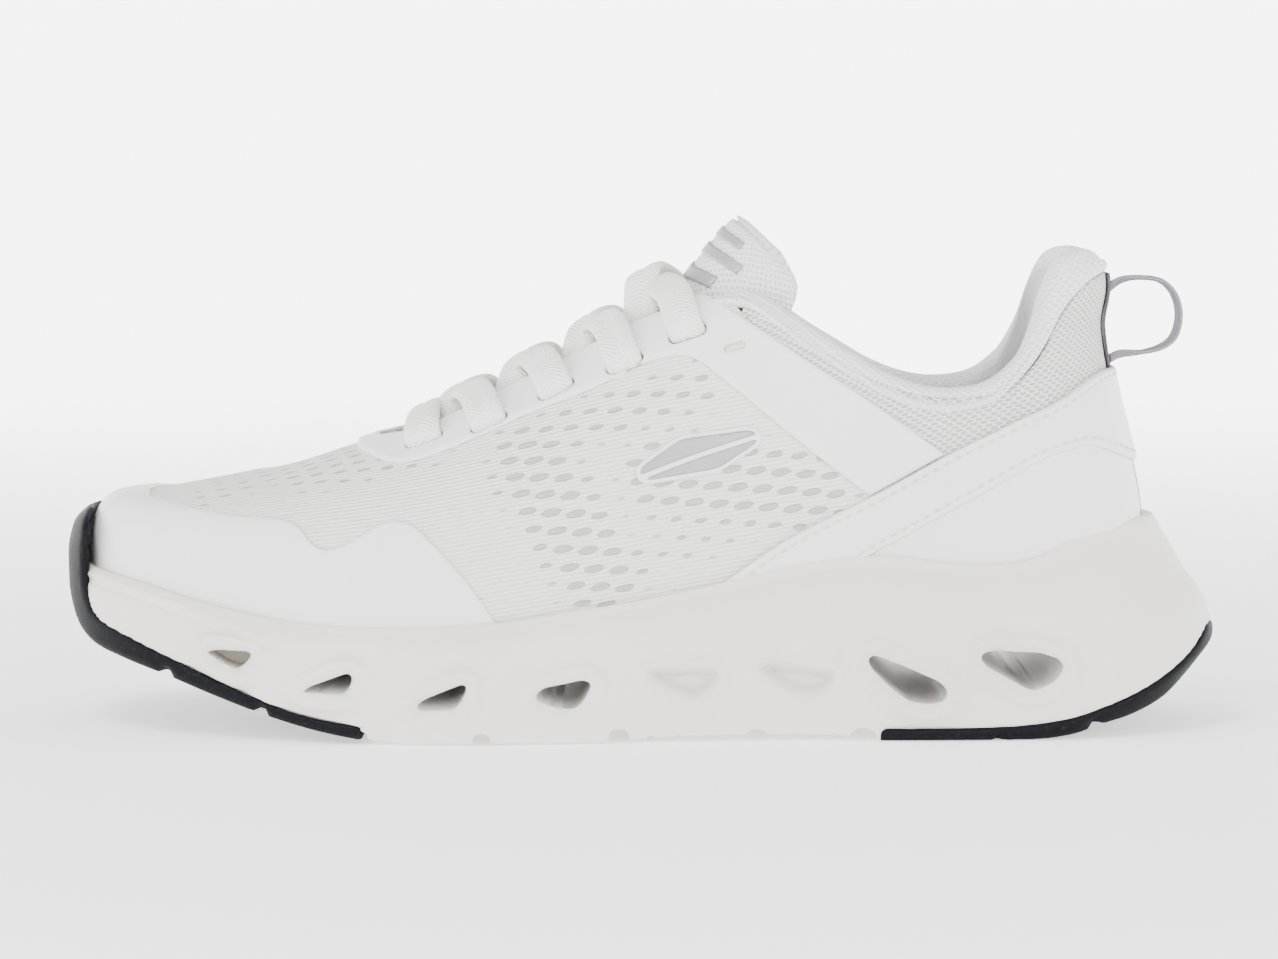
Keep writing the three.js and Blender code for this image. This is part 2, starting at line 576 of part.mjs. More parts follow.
// One stretch of lace: in under the eyestay at one slot, over the tongue, over the other edge, down its slot.
function crossing(level, side, height) {
  const [x0, r0] = slots[level];
  const [x1, r1] = slots[level + 1];
  const span = x1 - x0;
  const spot = (x, s, reach, lift) => ({ ...onForm(x, s, reach), lift });
  return [
    spot(x0, side, r0, underLining * 0.55),
    spot(x0 + span * 0.05, side, r0 - 2.2, underLining),
    spot(x0 + span * 0.18, side, 13.5, underLining),
    spot(x0 + span * 0.28, side, 8, (underLining + height) / 2),
    spot(x0 + span * 0.5, side, 0.2, height),
    spot(x0 + span * 0.72, -side, 8, Math.max((overEyestay + height) / 2, overEyestay + 0.8)),
    spot(x0 + span * 0.86, -side, 14.5, overEyestay + 0.9),
    spot(x1 - span * 0.04, -side, r1 - 2.4, overEyestay + 0.5),
    spot(x1, -side, r1, overEyestay - 0.9),
  ];
}

function laceTail(side) {
  const [x, reach] = slots[slots.length - 1];
  const share = shareAt(x, side, reach);
  const spot = (dx, drop, lift) => ({ ...seatAt(x + dx, side, share - drop), lift });
  return [spot(0, 0, underLining * 0.55), spot(-0.8, 0.01, underLining - 1), spot(-2, 0.05, underLining - 2),
    spot(-4, 0.12, underLining - 2.2), spot(-6, 0.18, underLining - 2.4)];
}

function lacePath() {
  const half = (first) => {
    const made = [];
    let side = first;
    for (let level = 0; level + 1 < slots.length; level += 1) {
      made.push(...crossing(level, side, crossings[level][side < 0 ? 1 : 0]));
      side = -side;
    }
    return [...made, ...laceTail(side)];
  };
  const [x, reach] = slots[0];
  const bar = [-1, 1].flatMap((side) => {
    const spots = [[reach, overEyestay - 0.9], [reach - 2.4, overEyestay + 0.5], [14.5, overEyestay + 0.6],
      [7, overEyestay]];
    const made = spots.map(([r, lift]) => ({ ...onForm(x, side, r), lift }));
    return side < 0 ? made : made.reverse();
  });
  return [...half(-1).reverse(), ...bar, ...half(1)];
}

function laceBody() {
  const spots = lacePath();
  const points = spots.map((s) => s.point.clone().addScaledVector(s.normal, s.lift));
  const rings = points.map((point, i) => {
    const tangent = points[Math.min(i + 1, points.length - 1)].clone()
      .sub(points[Math.max(i - 1, 0)]).normalize();
    const wide = spots[i].along.clone().addScaledVector(tangent, -spots[i].along.dot(tangent)).normalize();
    const thick = new THREE.Vector3().crossVectors(tangent, wide);
    const ring = [];
    for (const [across, up] of laceSection) {
      ring.push(point.clone().addScaledVector(wide, (across * lace.width) / 2)
        .addScaledVector(thick, (up * lace.thickness) / 2));
    }
    return ring;
  });
  return { body: tubeSolid(rings), ends: [points[0], points[1], points.at(-1), points.at(-2)] };
}

function agletBody(end, before) {
  const direction = end.clone().sub(before).normalize();
  const geometry = new THREE.CylinderGeometry(aglet.radius, aglet.radius, aglet.length, 10);
  const turn = new THREE.Quaternion().setFromUnitVectors(new THREE.Vector3(0, 1, 0), direction);
  geometry.applyQuaternion(turn);
  const middle = end.clone().addScaledVector(direction, gap + aglet.length / 2);
  geometry.translate(middle.x, middle.y, middle.z);
  return solid(geometry);
}

// ---- Sole -----------------------------------------------------------------------------------------

// Rings of the sole's outer surface, from the middle of its underside to the middle of its top.
function soleSolid() {
  const made = stations(sole, 14, 8);
  const inner = stations(upper, 14, 8);
  const reach = (station) => Math.hypot(station.edge[0] - station.centre[0], station.edge[1] - station.centre[1]);
  const under = (station, share) => {
    const x = THREE.MathUtils.lerp(station.centre[0], station.edge[0], share);
    return at(station, share, curve(soleBottom, x));
  };
  const rows = made.map((station, i) => {
    const x = station.edge[0];
    const low = curve(soleBottom, x);
    const top = curve(soleTop, x);
    const tall = top - low;
    const lip = Math.min((reach(inner[i]) + midsoleLip) / reach(station), 0.97);
    const heel = station.end === "heel" ? station.turn : 0;
    const tread = THREE.MathUtils.lerp(0.92, 0.86, heel);
    return [
      at(station, 0, curve(soleBottom, station.centre[0])),
      under(station, 0.4),
      under(station, 0.7),
      at(station, tread, low),
      at(station, 0.975, low + tall * THREE.MathUtils.lerp(0.1, 0.04, heel)),
      at(station, 1, low + tall * THREE.MathUtils.lerp(0.3, 0.06, heel)),
      at(station, THREE.MathUtils.lerp(0.99, 0.975, heel), low + tall * THREE.MathUtils.lerp(0.6, 0.3, heel)),
      at(station, THREE.MathUtils.lerp((lip + 1.0) / 2, 0.84, heel), low + tall * THREE.MathUtils.lerp(0.84, 0.62, heel)),
      at(station, THREE.MathUtils.lerp(lip, 0.775, heel), top - tall * THREE.MathUtils.lerp(0.06, 0.16, heel)),
      at(station, THREE.MathUtils.lerp(lip - 0.05, 0.68, heel), top),
      at(station, 0, top + 1),
    ];
  });
  return solid(closedGrid(rows.map((row) => row.map(place))));
}

const aboveGround = sidePrism([[-190, 0], [190, 0], [190, highest], [-190, highest]]);
const wholeSole = soleSolid().intersect(aboveGround);
const footprintHollow = grown(gap + film + gap).intersect(sidePrism(above(longer(shifted(footbed, 0, -board - 2 * gap)))));
const toeRubberRegion = (dx, dz) => sidePrism([[-160, lowest], ...shifted(toeRubberTop, dx, dz)]);
const heelRubberRegion = (dx, dz) => sidePrism([...shifted(heelRubberTop, dx, dz), [160, lowest]]);

const groove = ([x, width, depth]) => sidePrism([[x - width / 2, -5], [x - width / 4, depth], [x + width / 4, depth],
  [x + width / 2, -5]]);
const along = (line, x) => curve(line, x);
const rubberGroove = ([x, width, depth]) => sidePrism([[x - width / 2, along(soleBottom, x) - 6],
  [x - width / 3, along(soleBottom, x) + depth], [x + width / 3, along(soleBottom, x) + depth],
  [x + width / 2, along(soleBottom, x) - 6]]);

function midsole() {
  let made = wholeSole.subtract(footprintHollow).subtract(toeRubberRegion(gap, gap))
    .subtract(heelRubberRegion(-gap, gap));
  for (const outline of tunnels) made = made.subtract(sidePrism(outline));
  for (const side of sides) {
    const mouth = side * (side < 0 ? -curve(sole.lateral, pocket[0][0]) : curve(sole.medial, pocket[0][0]));
    const reach = [mouth - side * pocketDepth, mouth + side * 20].sort((a, b) => a - b);
    made = made.subtract(sidePrism(pocket, reach[0], reach[1]));
  }
  for (const cut of grooves) made = made.subtract(groove(cut));
  return made;
}

function toeOutsole() {
  const nose = grown(gap + film + gap + 4.2).intersect(sidePrism([[-160, 30], [-160, 55.2], [-120, 55.2], [-120, 30]]));
  let made = wholeSole.add(nose).intersect(toeRubberRegion(0, 0)).subtract(footprintHollow)
    .subtract(grown(gap + film + gap));
  for (const cut of rubberGrooves) made = made.subtract(rubberGroove(cut));
  return made;
}

function heelOutsole() {
  let made = wholeSole.intersect(heelRubberRegion(0, 0));
  for (const cut of rubberGrooves) made = made.subtract(rubberGroove(cut));
  return made;
}

// A sheet that follows the footbed between two heights over it.
function footbedSheet(outline, low, high) {
  return outline.intersect(sidePrism([...longer(shifted(footbed, 0, high)),
    ...longer(shifted(footbed, 0, low)).reverse()]));
}

// ---- Pull loop ------------------------------------------------------------------------------------

// A strip of webbing bent into an open ring, cut round at its roots about the line that it swings on.
function pullLoop() {
  const middle = new THREE.CatmullRomCurve3(loopPath.map(([x, z]) => new THREE.Vector3(x * gradeX, z * gradeZ, 0)));
  const steps = 22;
  const outer = [];
  const inner = [];
  for (let i = 0; i <= steps; i += 1) {
    const point = middle.getPointAt(i / steps);
    const tangent = middle.getTangentAt(i / steps);
    const side = new THREE.Vector2(-tangent.y, tangent.x).multiplyScalar(webbing.thickness / 2);
    outer.push(new THREE.Vector2(point.x + side.x, point.y + side.y));
    inner.push(new THREE.Vector2(point.x - side.x, point.y - side.y));
  }
  const shape = new THREE.Shape([...outer, ...inner.reverse()]);
  const strip = new THREE.ExtrudeGeometry(shape, { depth: webbing.width, bevelEnabled: false });
  strip.rotateX(Math.PI / 2);
  strip.translate(0, webbing.width / 2, 0);
  const top = new THREE.Vector3(loopAxis.top[0] * gradeX, 0, loopAxis.top[1] * gradeZ);
  const bottom = new THREE.Vector3(loopAxis.bottom[0] * gradeX, 0, loopAxis.bottom[1] * gradeZ);
  const direction = top.clone().sub(bottom).normalize();
  const backward = new THREE.Vector3(direction.z, 0, -direction.x);
  const sideways = new THREE.Vector3(0, 1, 0);
  const keep = new THREE.CylinderGeometry(webbing.width / 2, webbing.width / 2, 60, 20);
  keep.applyMatrix4(new THREE.Matrix4().makeBasis(backward, direction, sideways.clone().negate()));
  keep.translate((top.x + bottom.x) / 2, 0, (top.z + bottom.z) / 2);
  const beyond = new THREE.BoxGeometry(60, 60, webbing.width + 2);
  beyond.applyMatrix4(new THREE.Matrix4().makeBasis(backward, direction, sideways.clone().negate()));
  const centre = top.clone().add(bottom).multiplyScalar(0.5).addScaledVector(backward, 30);
  beyond.translate(centre.x, centre.y, centre.z);
  return solid(strip).intersect(solid(keep).add(solid(beyond))).translate([0, -2 * gradeY, 0]);
}

// ---- Assembly -------------------------------------------------------------------------------------

const white = 0xe9e9e8;
const warmWhite = 0xdfdbd9;
const knitWhite = 0xe4e4e0;
const rubber = 0x2d2d32;
const tapeGrey = 0x5c595e;
const webGrey = 0x8f8c90;
const silver = 0xb9b9bb;
const foamGrey = 0xd6d2c6;
const group = new THREE.Group();

function addPiece(name, body, colour, roughness, metalness = 0) {
  const mesh = body.getMesh();
  const geometry = new THREE.BufferGeometry();
  geometry.setAttribute("position", new THREE.BufferAttribute(new Float32Array(mesh.vertProperties), 3));
  geometry.setIndex(new THREE.BufferAttribute(new Uint32Array(mesh.triVerts), 1));
  const piece = new THREE.Mesh(geometry, new THREE.MeshStandardMaterial({ color: colour, roughness, metalness }));
  piece.name = name;
  group.add(piece);
}

const laced = laceBody();
addPiece("midsole", midsole(), warmWhite, 0.55);
addPiece("toe_outsole", toeOutsole(), rubber, 0.6);
addPiece("heel_outsole", heelOutsole(), rubber, 0.6);
addPiece("strobel_board", footbedSheet(grown(0), -board - gap, -gap), foamGrey, 0.9);
const sockOutline = form("sock", (x, z) => stuffOutside - room(x, Math.min(z, 45)) - gap - liningCloth - sockGap);
addPiece("sockliner", footbedSheet(sockOutline, gap, gap + sockThickness), knitWhite, 0.9);
addPiece("heel_counter", heelCounter(), foamGrey, 0.6);
addPiece("toe_puff", toePuff(), foamGrey, 0.6);
addPiece("vamp_mesh", vampMesh(), knitWhite, 0.85);
addPiece("collar_mesh", collarMesh(), knitWhite, 0.85);
addPiece("vamp_lining", vampLining(), knitWhite, 0.9);
addPiece("collar_lining", collarLining(), knitWhite, 0.9);
addPiece("collar_foam", collarFoam(), foamGrey, 0.95);
addPiece("toe_overlay", toeOverlay(), white, 0.5);
addPiece("eyestay_overlay", eyestayOverlay(), white, 0.5);
addPiece("heel_band", heelBand(), white, 0.5);
addPiece("heel_cover_lateral", heelCover(-1), white, 0.5);
addPiece("heel_cover_medial", heelCover(1), white, 0.5);
addPiece("back_tape", backTape(), tapeGrey, 0.8);
addPiece("side_emblem", sideEmblem(), silver, 0.35, 0.4);
addPiece("tongue_face", tongueSheet(0, tongueCloth), knitWhite, 0.85);
addPiece("tongue_foam", tongueSheet(foamTop, foamTop + tonguePad), foamGrey, 0.95);
addPiece("tongue_lining", tongueSheet(tongueLiningTop, tongueLiningTop + tongueCloth), knitWhite, 0.9);
addPiece("tongue_badge", tongueBadge(), silver, 0.35, 0.4);
addPiece("lace", laced.body, white, 0.8);
addPiece("aglet_lateral", agletBody(laced.ends[0], laced.ends[1]), white, 0.3);
addPiece("aglet_medial", agletBody(laced.ends[2], laced.ends[3]), white, 0.3);
addPiece("pull_loop", pullLoop(), webGrey, 0.8);

// The origin is the bottom centre of the whole shoe's box.
const box = new THREE.Box3().setFromObject(group);
group.position.set(-(box.min.x + box.max.x) / 2, -(box.min.y + box.max.y) / 2, -box.min.z);

export default group;
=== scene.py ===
"""Looks of a left running shoe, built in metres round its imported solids.

Toe towards -X, heel towards +X, outer side towards -Y, ground at z = 0. Pattern tables are in millimetres.
"""

from __future__ import annotations

import logging
import math
from dataclasses import dataclass, field
from enum import Enum
from typing import Callable, Iterable, Sequence

import bmesh
import bpy
import numpy as np
from mathutils import Matrix, Vector

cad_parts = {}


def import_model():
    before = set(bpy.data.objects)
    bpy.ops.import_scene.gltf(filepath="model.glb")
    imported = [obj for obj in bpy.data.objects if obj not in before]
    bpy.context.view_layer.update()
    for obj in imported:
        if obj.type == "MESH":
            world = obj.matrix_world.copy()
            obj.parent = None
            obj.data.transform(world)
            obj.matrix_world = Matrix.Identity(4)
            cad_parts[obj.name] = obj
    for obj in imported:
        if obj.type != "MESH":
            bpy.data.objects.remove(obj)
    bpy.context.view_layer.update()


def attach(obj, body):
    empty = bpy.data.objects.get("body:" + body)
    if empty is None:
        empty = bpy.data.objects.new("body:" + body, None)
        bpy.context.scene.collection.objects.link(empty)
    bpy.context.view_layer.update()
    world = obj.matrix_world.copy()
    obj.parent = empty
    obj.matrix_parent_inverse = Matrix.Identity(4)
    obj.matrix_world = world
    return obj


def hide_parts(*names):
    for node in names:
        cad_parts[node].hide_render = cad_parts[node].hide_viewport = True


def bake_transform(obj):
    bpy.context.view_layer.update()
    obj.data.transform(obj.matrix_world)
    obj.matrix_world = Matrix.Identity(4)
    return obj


LOG = logging.getLogger("shoe")
Array = np.ndarray
Line = Sequence[Sequence[float]]

# Sizes in millimetres: the four on the third line are past the shoe, for the corners of open outlines.
MM = 0.001
SHIFT = np.array([-0.25, -0.02, 0.0])
FAR, AHEAD, BEHIND, BELOW = 210.0, -190.0, 190.0, -20.0
TOE_CENTRE, HEEL_CENTRE, HEEL_MIDDLE = -95.0, 95.0, -2.0
WELD = 2e-6  # metres
ARC_STEPS = 40
HEEL_CLOTH = 95.0


# ---- Pattern ------------------------------------------------------------------------------------

SPINE = [[-95, 3.5], [-45, -1], [10, -3], [95, -2]]
FOOTBED = [[-142, 33], [-120, 29], [-95, 25.5], [-70, 22.5], [-45, 21], [-20, 21.5], [10, 25], [40, 29],
           [70, 32], [95, 33.5], [129, 34]]
RIDGE = [[-95, 64.4], [-88, 66.2], [-75, 70.6], [-67, 73.4], [-50, 80.5], [-31, 90], [-17, 97.5], [-3, 105.5],
         [5, 109.5], [20, 117], [40, 127], [60, 136], [95, 146]]
SOLE_BOTTOM = [[-148, 32], [-145.5, 26.5], [-140, 22], [-131, 19.2], [-119.5, 15.8], [-106, 10.9], [-94, 6.8],
               [-82, 3.6], [-69.7, 1.4], [-60, 0.2], [-53, -0.6], [-20, -0.6], [0, 0.5], [15, 1], [50, 1],
               [58.5, -0.6], [88, -0.6], [99, 0.3], [109, 1.5], [117, 3.8], [124.5, 5.6], [133, 9], [140, 14],
               [148.5, 20]]
SOLE_TOP = [[-148, 41], [-129.6, 38], [-110.6, 33.4], [-84.9, 29.3], [-59.5, 28.8], [-35.3, 30.1], [-19.7, 32.4],
            [2.8, 35.6], [19.1, 38.9], [40.4, 44], [55.5, 45.7], [65.6, 45.5], [80.7, 43.7], [93.2, 44],
            [103.4, 46.3], [116.7, 51.8], [148.5, 53.5]]
WALL_AT = [-95, -50, 0, 40, 70, 95]
WALL_OUT = [[0.95, 1.0, 0.985, 0.90, 0.68, 0.36, 0], [0.95, 1.0, 0.96, 0.84, 0.62, 0.33, 0],
            [0.94, 0.985, 0.96, 0.87, 0.67, 0.36, 0], [0.94, 1.0, 0.985, 0.95, 0.87, 0.62, 0],
            [0.94, 1.0, 0.97, 0.92, 0.86, 0.66, 0], [0.94, 1.0, 0.97, 0.86, 0.76, 0.66, 0]]
WALL_UP = [[0, 0.22, 0.45, 0.68, 0.86, 0.965, 1], [0, 0.2, 0.40, 0.62, 0.82, 0.95, 1],
           [0, 0.2, 0.42, 0.64, 0.83, 0.955, 1], [0, 0.2, 0.38, 0.58, 0.78, 0.93, 1],
           [0, 0.18, 0.34, 0.54, 0.74, 0.92, 1], [0, 0.15, 0.3, 0.48, 0.64, 0.82, 1]]
TOE_OUT, TOE_UP = [0.97, 1.0, 0.985, 0.89, 0.66, 0.34, 0], [0, 0.25, 0.55, 0.77, 0.825, 0.91, 1]
HEEL_OUT, HEEL_UP = [0.96, 1.0, 0.93, 0.80, 0.715, 0.70, 0], [0, 0.17, 0.30, 0.45, 0.60, 0.76, 1]

RIM = [[14, 114.5], [21.9, 114.1], [30.5, 111.9], [40.4, 104.6], [52.9, 96.7], [65.4, 90.1], [78, 87.6],
       [90.7, 90.7], [98.5, 100.6], [103.7, 110.6], [107, 119], [110, 122], [113.5, 123.3], [117.5, 122], [120.5, 118]]
ROLL_SEAM = [[15.8, 110.5], [30.9, 106.3], [41.1, 99.4], [51.1, 93.2], [61.4, 88.7], [71.7, 85.6], [81.9, 85.3],
             [92.2, 87], [100.8, 94.9], [106.3, 104.6], [110.7, 110.2], [114.7, 113.7], [118.9, 115.5]]
TOE_CAP_EDGE = [[-127.2, 62], [-127.2, 58.8], [-118.9, 57.3], [-103.2, 55], [-88.8, 54.2], [-85.2, 52.5],
                [-81.6, 48.9], [-78.8, 47.6], [-75.3, 48], [-68.7, 51.5], [-64.3, 54], [-60.2, 54.6], [-56.3, 53.6],
                [-51.8, 49.9], [-46.1, 44.1], [-39.5, 35.8], [-33, 26]]
EYESTAY_LOWER = [[-73.5, 90], [-73.2, 71.5], [-68.6, 69.5], [-63.1, 68], [-56.6, 68.6], [-45.4, 72.6],
                 [-28.5, 80.2], [-11.6, 87], [-0.3, 92.6], [8.1, 95.2], [13.8, 94.8], [20.6, 90.1], [41.1, 73.4],
                 [59.9, 59]]
STRAP_REAR = [[77.5, 70.5], [61.4, 82], [41.1, 95.3], [21.2, 108.2], [15.8, 111]]
BAND_TOP = [[18, 37.2], [36.9, 49.9], [59.9, 61.4], [77.5, 71], [94.6, 79.2], [105, 84], [115.9, 90.5], [122, 91.5]]
BAND_BOTTOM = [[49, 40.5], [57.8, 45.7], [65.8, 50.1], [84.4, 60.2], [101.8, 69.8], [111.8, 72.5], [116.6, 71.5],
               [127, 66.6]]
QUARTER_SPLIT = [[13, 122], [33, 98], [55, 75], [70, 62], [80, 20]]
THROAT_EDGE = [[-67, -1.5], [-65.5, -7], [-60, -12], [-50, -14.4], [-31, -14.7], [-17, -15.6], [-3, -16],
               [5, -17.5], [15.5, -19], [24, -22], [40, -26]]
TOE_RUBBER_TOP = [[-160, 55.2], [-141.2, 55.2], [-141.8, 42.8], [-141.4, 35], [-138.5, 29], [-128.5, 24.6],
                  [-118.5, 20.3], [-97.4, 11.2], [-84.9, 6.9], [-69.4, 4.4], [-67, -8]]
HEEL_RUBBER_TOP = [[60, -8], [60.5, 2.9], [85, 3.1], [99, 3.8], [112, 6.2], [124.5, 10.4], [134, 15.2],
                   [141, 20.2], [146, 25.5], [160, 26.5]]
TUNNELS = [
    [[-83.8, 12.6], [-82.1, 14.1], [-72.6, 17.8], [-71.1, 17.1], [-71.6, 14.3], [-73.4, 12.3]],
    [[-55.2, 9.8], [-53.3, 11.6], [-43.8, 15.4], [-42.5, 14.6], [-43.8, 11.1], [-45.8, 9.1], [-54.2, 8.8]],
    [[-25.8, 12.4], [-23.8, 14.2], [-13.6, 16.2], [-11.6, 14.9], [-13.6, 10.9], [-16.1, 8.7], [-20.6, 9.2],
     [-25, 10.9]],
    [[57.1, 20.7], [58.6, 21.7], [64.8, 19.4], [75.1, 14.9], [77.3, 12.4], [76.4, 9.9], [72.6, 9.1], [67.4, 9.9],
     [62.4, 13.7], [57.8, 18.4]],
    [[85.3, 20.7], [86.1, 22.2], [89.7, 22.7], [100.5, 22], [105, 20.4], [106.5, 18.2], [104.3, 14.9],
     [99.3, 12.4], [96.8, 12.9], [91, 16.2], [86.5, 18.7]],
]
POCKET = [[-108.5, 21.8], [-106, 22.5], [-97.7, 22.3], [-96.7, 21.3], [-99.3, 18.2], [-101, 17.7], [-104.5, 19.3]]
RECESSES = [
    [[1.5, 18.1], [19.9, 18.1], [19.9, 15.1], [14.9, 10.8], [10.4, 12.3], [3.5, 16.2]],
    [[29.6, 19.8], [49.4, 17.1], [48.3, 14.3], [45.1, 11.8], [39.8, 11.8], [34.4, 14.8], [30, 18.3]],
]
GROOVES = [[-69.5, 4, 3.4], [-39, 4.2, 3], [-5, 5, 3.6], [3, 2, 1.6], [10, 2, 1.6], [17, 2, 1.6], [23, 2, 1.6],
           [29.5, 5.4, 3], [37, 2, 1.6], [43, 2, 1.6], [49, 2, 1.6], [56, 6.4, 3.2]]
RUBBER_GROOVES = [[-119, 3, 1.8], [-94.5, 3, 1.8], [90, 2.2, 1.6], [114.5, 3, 1.8]]
SLOTS = [[-54.3, 21.4], [-37.7, 24.4], [-20.7, 23.2], [-3.5, 24.4], [12.4, 24]]
SPARE_SLOT = [24.1, 28.6]
EMBLEM = [[-1, 65.5], [1.5, 63.6], [20, 66.6], [30.5, 73.4], [30.8, 76.6], [28, 78.4], [10, 76], [-0.6, 68.6]]
TONGUE_ROWS = [[-66, 65.8, 16, 3.6], [-50, 72.8, 19, 6.6], [-34, 80.6, 20, 8.6], [-17, 89.7, 20.5, 11],
               [-3, 98, 20, 14.5], [4.5, 104.6, 19, 18], [10.6, 113.2, 18.5, 24], [17.1, 121.8, 19.5, 26],
               [22.3, 127.8, 19.5, 23.5], [25.6, 131.3, 17, 18]]
LOOP_PATH = [[120.9, 111.4], [124.6, 113.6], [129.7, 114.2], [134.8, 113.3], [138.2, 109.8], [139.5, 104.4],
             [138.2, 99], [135, 96.3], [129.9, 94.9], [124.2, 94.4], [121.6, 93.2]]
PATCHES = [
    ((-27, 69), (-9, 40), 14, 1.0), ((6, 66), (44, 62), 14, 1.0), ((-20, 77), (15, 88), 8, 0.55),
    ((-88, 65), (-52, 73), 7, 0.5), ((-5, 45), (20, 50), 6, 0.3), ((-110, 60), (-80, 70), 5, 0.35),
]


# ---- Curves and distances -----------------------------------------------------------------------

def curve(rows: Line, x: Array) -> Array:
    """Smooth values through rows of [place, value, ...].

    Args:
        rows: Rows whose first number is the place and whose others are the values there.
        x: Places to read, of any one dimension.

    Returns:
        The values, with one column fewer than the rows have, or flat where there is one value.
    """
    table = np.asarray(rows, float)
    at, values = table[:, 0], table[:, 1:]
    x = np.clip(np.asarray(x, float), at[0], at[-1])
    index = np.arange(len(at))
    before, after = np.maximum(index - 1, 0), np.minimum(index + 1, len(at) - 1)
    slope = (values[after] - values[before]) / (at[after] - at[before])[:, None]
    k = np.clip(np.searchsorted(at, x, side="left") - 1, 0, len(at) - 2)
    span = (at[k + 1] - at[k])[:, None]
    u = (x[:, None] - at[k][:, None]) / span
    swing = u * (1 - u) * ((1 - u) * slope[k] - u * slope[k + 1]) * span
    made = values[k] + (values[k + 1] - values[k]) * u * u * (3 - 2 * u) + swing
    return made[:, 0] if made.shape[1] == 1 else made


def thread(rows: Array, t: Array, limited: bool = True, crest: Sequence[int] = ()) -> Array:
    """A smooth place on each of many short rows of control points.

    Args:
        rows: Control points, shaped (samples, points, values).
        t: The place along each row, counted in points.
        limited: Whether slopes are held so that the line never swings past its points.
        crest: Values that are level at the end of the row.

    Returns:
        One row of values for each sample.
    """
    step = np.diff(rows, axis=1)
    slope = np.empty_like(rows)
    slope[:, 0], slope[:, -1] = step[:, 0], step[:, -1]
    left, right = step[:, :-1], step[:, 1:]
    if limited:
        same = left * right > 0
        mean = 2 * left * right / np.where(same, left + right, 1)
        slope[:, 1:-1] = np.where(same, mean, 0)
    else:
        slope[:, 1:-1] = (left + right) / 2
    for value in crest:
        slope[:, -1, value] = 0
    k = np.clip(np.floor(t).astype(int), 0, rows.shape[1] - 2)
    pick = np.arange(len(t))
    u = (t - k)[:, None]
    start, end = rows[pick, k], rows[pick, k + 1]
    swing = u * (1 - u) * ((1 - u) * slope[pick, k] - u * slope[pick, k + 1])
    return start + (end - start) * u * u * (3 - 2 * u) + swing


def ease(value: Array, low: float, high: float) -> Array:
    """Smooth step from 0 to 1 as value goes from low to high.

    Args:
        value: The values to read.
        low: Where the step starts.
        high: Where it ends.

    Returns:
        The step at each value.
    """
    u = np.clip((np.asarray(value, float) - low) / (high - low), 0, 1)
    return u * u * (3 - 2 * u)


def lengths(points: Array) -> Array:
    """How far along a line of points each one is."""
    return np.concatenate([[0], np.cumsum(np.linalg.norm(np.diff(points, axis=0), axis=1))])


def evened(values: Array, times: int) -> Array:
    """Values along a line, evened out with their neighbours a number of times, with both ends held."""
    made = values.copy()
    for _ in range(times):
        made[1:-1] = (made[:-2] + 2 * made[1:-1] + made[2:]) / 4
    return made


def bulged(value: Array, power: float) -> Array:
    """Values from -1 to 1 raised to a power, with their signs kept."""
    return np.sign(value) * np.abs(value) ** power


def fine(line: Line, parts: int = 7) -> Array:
    """A smooth dense line through the points of a coarse one.

    Args:
        line: The coarse line's points.
        parts: How many pieces each stretch gets.

    Returns:
        The dense line's points.
    """
    points = np.asarray(line, float)
    run = lengths(points)
    return curve(np.column_stack([run, points]), np.linspace(0, run[-1], parts * (len(points) - 1) + 1))


def rounded(outline: Line, radius: float = 1.0, parts: int = 5) -> Array:
    """A closed outline with each corner turned into a short curve.

    Args:
        outline: The corners.
        radius: How far from each corner its curve starts.
        parts: How many points each curve gets.

    Returns:
        The rounded outline.
    """
    points = np.asarray(outline, float)
    made = []
    for i, corner in enumerate(points):
        back, ahead = points[i - 1] - corner, points[(i + 1) % len(points)] - corner
        reach = [min(radius, 0.45 * np.linalg.norm(v)) / np.linalg.norm(v) for v in (back, ahead)]
        start, end = corner + back * reach[0], corner + ahead * reach[1]
        for u in np.linspace(0, 1, parts):
            made.append((1 - u) ** 2 * start + 2 * u * (1 - u) * corner + u * u * end)
    return np.array(made)


def inside(outline: Line, points: Array) -> Array:
    """Signed distance from a closed flat outline, positive inside it.

    Args:
        outline: The corners of the outline.
        points: Flat points, shaped (count, 2).

    Returns:
        The distance of each point.
    """
    start = np.asarray(outline, float)
    end = np.roll(start, -1, axis=0)
    nearest = np.full(len(points), 1e9)
    crossed = np.zeros(len(points), bool)
    for a, b in zip(start, end):
        ab = b - a
        length = max(float(ab @ ab), 1e-12)
        share = np.clip(((points - a) @ ab) / length, 0, 1)
        nearest = np.minimum(nearest, np.linalg.norm(points - a - share[:, None] * ab, axis=1))
        if a[1] != b[1]:
            level = (a[1] > points[:, 1]) != (b[1] > points[:, 1])
            crossed ^= level & (points[:, 0] < ab[0] * (points[:, 1] - a[1]) / ab[1] + a[0])
    return np.where(crossed, nearest, -nearest)


def side_view(points: Array) -> Array:
    """Points as the side of the shoe shows them, [x, z]."""
    return points[:, [0, 2]]


def above(line: Array) -> Array:
    """The outline of everything over a line that runs from toe to heel."""
    return np.vstack([[line[0][0], FAR], line, [line[-1][0], FAR]])


def metres(points: Array) -> Array:
    """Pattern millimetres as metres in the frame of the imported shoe."""
    return (points + SHIFT) * MM


# ---- Curved surfaces ----------------------------------------------------------------------------

